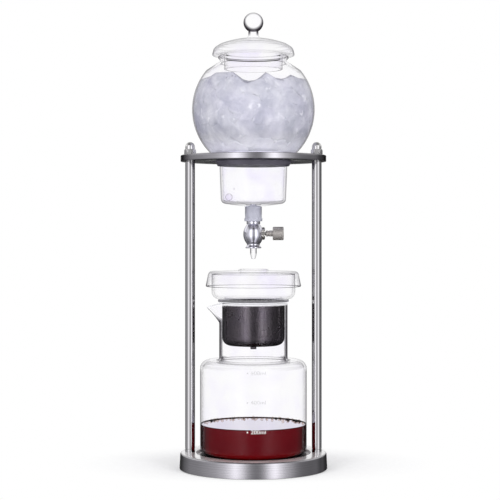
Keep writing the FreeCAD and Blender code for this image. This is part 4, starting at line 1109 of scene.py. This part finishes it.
# ---------------------------------------------------------------- carafe
class TOWER_OT_carafe(bpy.types.Operator):
    """Glass carafe with its pouring lip and printed volume marks"""

    bl_idname = "tower.carafe"
    bl_label = "Carafe"

    def execute(self, context):
        outside = subdivided(soften([
            (0, CARAFE_Z), (CARAFE_R, CARAFE_Z, 6.8), (CARAFE_R, CARAFE_SHOULDER_Z, 7.8),
            (CARAFE_NECK_R, CARAFE_SHOULDER_Z, 2.5), (CARAFE_NECK_R, CARAFE_RIM_Z - 1.1)], 9), 1.5)
        floor = np.clip((CARAFE_Z + 1.2 - outside[:, 1]) / 1.2, 0, 1)
        line = walled(outside, GLASS_WALL + floor * (CARAFE_FLOOR - GLASS_WALL))
        line[0, 0] = line[-1, 0] = 0
        start, dark = glass_edges(line, False)
        radius, height = line.T
        neck_z = CARAFE_SHOULDER_Z + 2.6
        # frost: the rim's top 1.4 mm drawn white as ground glass with the painted glow, partly a
        # painted highlight for the light the rim catches
        frost = np.clip((height - CARAFE_RIM_Z + 1.4) / 0.4, 0, 1)
        dark[height > neck_z] = 1.5
        start[height > neck_z] -= 0.08
        dark[(height > 95) & (height < CARAFE_SHOULDER_Z + 0.2) & (radius > 36)] = 0.22
        fillet = (height > CARAFE_SHOULDER_Z - 0.1) & (height < neck_z) & (radius < 36)
        start[fillet], dark[fillet] = 0.45, 0.9
        mesh = grid_mesh("glass_carafe", self.with_spout(turned(line, 256)), loop=False,
                         edges=(start, dark, frost))
        place(mesh, clear(context), "carafe", "clear_glass", "carafe")
        for text, mark_z, shade in MARKS:
            place(self.mark(text, mark_z), finish_of(volume_ink, "ink_" + text, shade), "carafe",
                  "clear_glass")
        return {"FINISHED"}

    @staticmethod
    def with_spout(points):
        """Draws the neck out to a beak at -X. At the angle a from -X the radius grows by
        1 / cos(b - a) where a < b, which is the tangent from the beak's edge to the neck;
        cos b is the neck's radius over the beak's, which grows from the foot of the lip to
        the rim. The rim dips in proportion."""
        x, y, height = np.moveaxis(points, -1, 0)
        radius, angle = np.hypot(x, y), np.arctan2(y, -x)
        share = np.clip((height - CARAFE_RIM_Z + SPOUT_DEPTH) / SPOUT_DEPTH, 0, 1)
        share = share * (radius < CARAFE_NECK_R + 0.5)
        bend = np.arccos(CARAFE_NECK_R / (CARAFE_NECK_R + SPOUT_LENGTH * share))
        beside = np.sqrt(angle ** 2 + SPOUT_TIP_SOFTNESS ** 2) - SPOUT_TIP_SOFTNESS * 0.5
        grown = radius / np.cos(np.maximum(bend - beside, 0))
        dip = SPOUT_DIP * share * (grown - radius) / SPOUT_LENGTH
        return around(grown, math.pi - angle, height - dip)

    @staticmethod
    def mark(text, height):
        """Flat text and a dot, bent round the carafe: x becomes the turn x / R from the front,
        and depth is added to the radius."""
        curve = bpy.data.curves.new("mark_" + text, "FONT")
        curve.body = text
        curve.size = 5.6
        curve.extrude = 0.03
        holder = bpy.data.objects.new(curve.name, curve)
        mesh = bpy.data.meshes.new_from_object(holder)
        bpy.data.objects.remove(holder)
        flat = np.zeros(len(mesh.vertices) * 3, np.float32)
        mesh.vertices.foreach_get("co", flat)
        flat = flat.reshape(-1, 3) * (1.05, 0.9, 1) + (-2.6, -1.7, 0)
        faces = [list(face.vertices) for face in mesh.polygons]
        bpy.data.meshes.remove(mesh)
        dot = balls(np.array([(-5.6, -0.2, 0)]), np.array([0.75]), 8, 12)[0] * (1, 1, 0.06)
        dot, quads, fans, _ = lattice(dot, False)
        faces += (quads + len(flat)).tolist() + (fans + len(flat)).tolist()
        x, y, depth = np.concatenate([flat, dot]).T
        bent = around(CARAFE_R + 0.06 + depth, x / CARAFE_R - math.pi / 2, height + y)
        return mesh_of("mark_" + text, bent, faces, sharp=0)


class TOWER_OT_coffee(bpy.types.Operator):
    """Brewed coffee with a meniscus and a few bubbles at its edge"""

    bl_idname = "tower.coffee"
    bl_label = "Brewed coffee"

    def execute(self, context):
        look = tower(context).liquid
        reach, level = CARAFE_R - 0.4, COFFEE_TOP_Z - MENISCUS
        line = soften([(0, COFFEE_Z), (reach, COFFEE_Z, 6.4), (reach, COFFEE_TOP_Z),
                       (reach - 0.3, COFFEE_TOP_Z - 0.4), (reach - 1.4, level),
                       (reach - 1.6, level), (0, level)])
        mesh = grid_mesh("coffee", turned(line, 192), loop=False)
        place(mesh, finish_of(coffee_body, "coffee_body", look), "carafe", "coffee",
              "brewed_coffee")
        mesh.materials.append(finish_of(coffee_top, "coffee_top", look))
        normals = np.zeros(len(mesh.polygons) * 3, np.float32)
        mesh.polygons.foreach_get("normal", normals)
        mesh.polygons.foreach_set("material_index", (normals[2::3] > 0.95).astype(np.int32))
        random = np.random.default_rng(11)
        # turns on the far side only: most of the bubbles at the back, a few beside them
        turn = np.concatenate([random.uniform(0.3, 2.85, 78), random.uniform(0, 3.14, 12)])
        count = len(turn)
        sizes = random.uniform(0.6, 1.7, count) * random.uniform(0.7, 1.0, count)
        ring = reach - 1.2 - sizes - random.uniform(0, 1, count) ** 3 * 14
        bubbles = balls(around(ring, turn, level + 0.4 * sizes), sizes, 10, 16)
        foam = finish_of(clear_glass, "coffee_bubble", tower(context).glass, (0.93, 0.88, 0.84))
        place(grid_mesh("edge_bubbles", bubbles, loop=False, edges=BUBBLE_EDGE), foam, "carafe",
              "coffee")
        return {"FINISHED"}


# ---------------------------------------------------------------- brewing chamber
class TOWER_OT_filter(bpy.types.Operator):
    """Steel filter cup with its gasket, the wet grounds and the paper"""

    bl_idname = "tower.filter"
    bl_label = "Filter cup"

    def execute(self, context):
        bore_r, inner_z = CUP_R - CUP_WALL, CUP_FLOOR_Z + CUP_WALL
        cup = soften([
            (CUP_NUB_BORE_R, CUP_NUB_Z), (CUP_NUB_R, CUP_NUB_Z, 0.3), (CUP_NUB_R, CUP_FLOOR_Z, 0.4),
            (CUP_R, CUP_FLOOR_Z, 7.8), (CUP_R, CUP_FLANGE_Z, 0.3), (CUP_FLANGE_R, CUP_FLANGE_Z),
            (CUP_FLANGE_R, CUP_TOP_Z), (bore_r, CUP_TOP_Z, 0.3), (bore_r, inner_z, 7.3),
            (CUP_NUB_BORE_R, inner_z)], 9)
        steel = finish_of(polished_steel, "cup_steel", tower(context).steel.cup, 0.2)
        turned_piece("steel_cup", cup, steel, "brew_chamber", "polished_steel", "filter_cup",
                     sides=160)
        self.gasket(context)
        grounds_z = inner_z + FILM
        heap = soften([(0, grounds_z), (GROUNDS_R, grounds_z, 7.2), (GROUNDS_R, GROUNDS_TOP_Z),
                       (0, GROUNDS_TOP_Z)])
        turned_piece("wet_grounds", heap, finish_of(coffee_grounds, "wet_grounds"),
                     "brew_chamber", "wet_grounds", "coffee_grounds", loop=False)
        paper = np.array([(0, PAPER_Z), (PAPER_R, PAPER_Z), (PAPER_R, PAPER_TOP_Z),
                          (0, PAPER_TOP_Z)])
        turned_piece("paper_disc", paper, finish_of(creped_paper, "filter_paper"),
                     "brew_chamber", "filter_paper", "paper_filter", loop=False)
        return {"FINISHED"}

    @staticmethod
    def gasket(context):
        """Ring with a slot for the cup's flange: dark lines over and under it, frosted below."""
        flank = [(GASKET_R, height) for height in (161.65, 161.75, 162.35, 162.6, 163.0)]
        slot_r, slot_z, slot_top_z = CUP_FLANGE_R + 0.04, CUP_FLANGE_Z - 0.05, CUP_TOP_Z + 0.05
        line = np.concatenate([
            soften([(GASKET_IN_R, GASKET_Z, 0.3), (GASKET_R, GASKET_Z, 0.7), *flank,
                    (GASKET_R, GASKET_TOP_Z, 0.7), (GASKET_IN_R, GASKET_TOP_Z, 0.3)]),
            [(GASKET_IN_R, slot_top_z), (slot_r, slot_top_z), (slot_r, slot_z),
             (GASKET_IN_R, slot_z)]])
        start, _ = glass_edges(line, True, 2.0)
        radius, height = line.T
        rim = radius > GASKET_R - 0.5
        start[rim] = -1.5
        dark = np.where(rim, np.clip(np.abs(height - 163.0) * 4 - 0.9, 0.25, 1.6), 0.1)
        # the frosted foot and the milky share of 0.12 take the ground glass's painted glow
        frost = (height < 161.7) * 1.0
        silicone = finish_of(clear_glass, "gasket_silicone", tower(context).glass,
                             (0.9, 0.9, 0.92), 0.12)
        turned_piece("flange_gasket", line, silicone, "brew_chamber", "pale_silicone",
                     "filter_gasket", edges=(start, dark * (1 - frost), frost))


class TOWER_OT_bowl(bpy.types.Operator):
    """Straight-sided glass bowl on the gasket"""

    bl_idname = "tower.bowl"
    bl_label = "Bowl"

    def execute(self, context):
        line = walled(soften([
            (BOWL_SPIGOT_R, BOWL_Z), (BOWL_SPIGOT_R, BOWL_FLOOR_Z, 0.4),
            (BOWL_R, BOWL_FLOOR_Z - 0.1, 7.0), (BOWL_R, BOWL_TOP_Z)], 9), BOWL_WALL)
        start, _ = glass_edges(line, True, BOWL_WALL)
        dark = np.where(line[:, 1] < 172, 0.12, 0.7)
        turned_piece("drip_bowl", line, clear(context), "brew_chamber", "clear_glass",
                     "brew_bowl", sides=160, edges=(start, dark))
        return {"FINISHED"}


class TOWER_OT_bowl_lid(bpy.types.Operator):
    """Glass lid with a rounded skirt and a raised ring round the drip hole"""

    bl_idname = "tower.bowl_lid"
    bl_label = "Bowl's lid"

    def execute(self, context):
        line = walled(soften([
            (SKIRT_R, SKIRT_Z), (BOWL_LID_R, BOWL_LID_Z, 3.4), (DRIP_HOLE_R, BOWL_LID_Z, 0.5),
            (DRIP_HOLE_R, BOWL_LID_TOP_Z)], 9), BOWL_WALL)
        start, _ = glass_edges(line, True, BOWL_WALL)
        radius, height = line.T
        dark = np.where(radius < 17, 0.2, np.where(height < 180, 0.9, 0.4))
        turned_piece("skirted_lid", line, clear(context), "bowl_lid", "clear_glass", "bowl_lid",
                     sides=160, edges=(start, dark))
        return {"FINISHED"}


# ---------------------------------------------------------------- stage
class TOWER_OT_stage(bpy.types.Operator):
    """White floor, soft studio light and the camera"""

    bl_idname = "tower.stage"
    bl_label = "Stage"

    def execute(self, context):
        look = tower(context).stage
        self.floor()
        self.room(context, look.fill)
        for name, turn in (("lamp_left", -33), ("lamp_right", 37)):
            self.lamp(name, turn, look.lamp_power)
        data = bpy.data.cameras.new("camera")
        data.lens = look.lens
        data.shift_x, data.shift_y = CAMERA_SHIFT
        camera = bpy.data.objects.new("camera", data)
        camera.location = (0, -look.distance, look.height)
        camera.rotation_euler = (math.pi / 2, 0, 0)
        context.scene.collection.objects.link(camera)
        context.scene.camera = camera
        context.scene.view_settings.view_transform = "Standard"
        return {"FINISHED"}

    @staticmethod
    def floor():
        """Wide disc that keeps the tower's shadow and is white to the camera elsewhere."""
        mesh = bpy.data.meshes.new("floor")
        corners = around(FLOOR_R, circle(96), 0)
        mesh.from_pydata(corners.tolist(), [], [list(range(len(corners)))])
        floor = bpy.data.objects.new("floor", mesh)
        bpy.context.scene.collection.objects.link(floor)
        finish = Finish("floor_paper")
        path = finish.add("LightPath").outputs
        grain = finish.blended(finish.noise(3), (0.85, 0.85, 0.855), (0.86, 0.86, 0.865))
        near = finish.both(finish.bsdf("Diffuse", grain), finish.glow(
            (1, 1, 1), finish.times(path["Is Camera Ray"], 0.15)))
        oval = finish.add("Mapping", {"Vector": finish.position(), "Location": (0, -0.045, 0),
                                      "Scale": (1, 1.5, 0)}).outputs[0]
        reach = finish.add("VectorMath", {0: oval}, operation="LENGTH").outputs["Value"]
        away = finish.times(finish.between(reach, 0, 1, 0.1, 0.18), path["Is Camera Ray"])
        seen = finish.mixed(away, near, finish.glow((1, 1, 1), 1.0))
        mesh.materials.append(finish.done(finish.mixed(
            path["Is Glossy Ray"], seen, finish.bsdf("Transparent", (1, 1, 1)))))

    @staticmethod
    def room(context, fill):
        """White room for the eye and for glass, an even grey for soft light, and for polished
        surfaces two soft boxes in front, dark sides, ceiling and floor, a white wall behind and
        a slanted screen above it. The turn of a direction (x, y) from the front is
        atan2(x, -y)."""
        finish = Finish("studio", "worlds")
        between, times = finish.between, finish.times
        x, y, z = finish.parts(finish.add("TexCoord").outputs["Generated"])
        turn = finish.math("ARCTAN2", x, times(y, -1.0))
        ramp = finish.add("ValToRGB", {0: between(turn, 0, 1, -math.pi, math.pi)})
        elements = ramp.color_ramp.elements
        for degrees, _ in SOFT_BOXES[1:-1]:
            elements.new(degrees / 360 + 0.5)
        for element, (_, value) in zip(elements, SOFT_BOXES):
            element.color = (value / 2, value / 2, value / 2 * 1.04, 1)
        ceiling = finish.math("MINIMUM", between(z, 2.0, 0.3, 0.45, 0.72),
                              between(z, 0.9, 2.0, -0.6, -0.15))
        sides = times(ceiling, between(y, 1, 0.2, 0.45, 0.85))
        front = finish.add("VectorMath", {0: ramp.outputs[0], "Scale": sides},
                           operation="SCALE").outputs[0]
        wall = times(between(y, 0, 0.95, 0.95, 0.985), between(z, 0.1, 1, -0.035, 0.0))
        screen = times(times(between(z, 0, 0.6, 0.1, 0.2), between(y, 0, 1, -0.4, 0.1)),
                       between(z, 1, 0.4, 0.6, 0.9))
        wall = finish.math("MAXIMUM", wall, screen)
        grey = finish.add("CombineXYZ", {0: wall, 1: wall, 2: wall}).outputs[0]
        shiny = finish.add("VectorMath", {0: front, 1: grey}, operation="ADD").outputs[0]
        path = finish.add("LightPath").outputs
        soft = finish.blended(path["Is Glossy Ray"], (fill, fill, fill * 1.01), shiny)
        direct = finish.math("MAXIMUM", path["Is Camera Ray"], path["Is Transmission Ray"])
        light = finish.add("Background", {"Color": finish.blended(direct, soft, (1, 1, 1))})
        context.scene.world = finish.done(light.outputs[0], "OutputWorld")

    @staticmethod
    def lamp(name, degrees, power):
        """Upright soft box in front of the tower at this turn from the front."""
        data = bpy.data.lights.new(name, "AREA")
        data.shape = "RECTANGLE"
        data.size, data.size_y = LAMP_SIZE
        data.energy = power
        lamp = bpy.data.objects.new(name, data)
        turn = math.radians(degrees)
        lamp.location = (LAMP_DISTANCE * math.sin(turn), -LAMP_DISTANCE * math.cos(turn),
                         LAMP_HEIGHT)
        lamp.rotation_euler = (math.radians(LAMP_TILT), 0, turn)
        lamp.visible_glossy = False
        lamp.visible_camera = False
        bpy.context.scene.collection.objects.link(lamp)


# ---------------------------------------------------------------- add-on
STEPS = (TOWER_OT_stage, TOWER_OT_base, TOWER_OT_posts, TOWER_OT_plate, TOWER_OT_globe,
         TOWER_OT_water, TOWER_OT_ice, TOWER_OT_tank_lid, TOWER_OT_valve, TOWER_OT_knob,
         TOWER_OT_carafe, TOWER_OT_coffee, TOWER_OT_filter, TOWER_OT_bowl, TOWER_OT_bowl_lid)


class TOWER_PT_panel(bpy.types.Panel):
    """Lists the tower's pieces in the order they are built"""

    bl_idname = "TOWER_PT_panel"
    bl_label = "Drip tower"
    bl_space_type = "VIEW_3D"
    bl_region_type = "UI"
    bl_category = "Drip tower"

    def draw(self, context):
        settings = tower(context)
        for group in (settings.glass, settings.steel, settings.liquid, settings.stage):
            box = self.layout.box()
            for name in group.__annotations__:
                box.prop(group, name)
        for step in STEPS:
            self.layout.operator(step.bl_idname)


CLASSES = (GlassLook, SteelLook, LiquidLook, StageLook, TowerSettings, *STEPS, TOWER_PT_panel)


def register():
    for cls in CLASSES:
        bpy.utils.register_class(cls)
    bpy.types.Scene.drip_tower = PointerProperty(type=TowerSettings)


def unregister():
    del bpy.types.Scene.drip_tower
    for cls in reversed(CLASSES):
        bpy.utils.unregister_class(cls)


def main():
    """Builds the tower."""
    register()
    for step in STEPS:
        group, name = step.bl_idname.split(".")
        getattr(getattr(bpy.ops, group), name)()


if __name__ == "__main__":
    main()
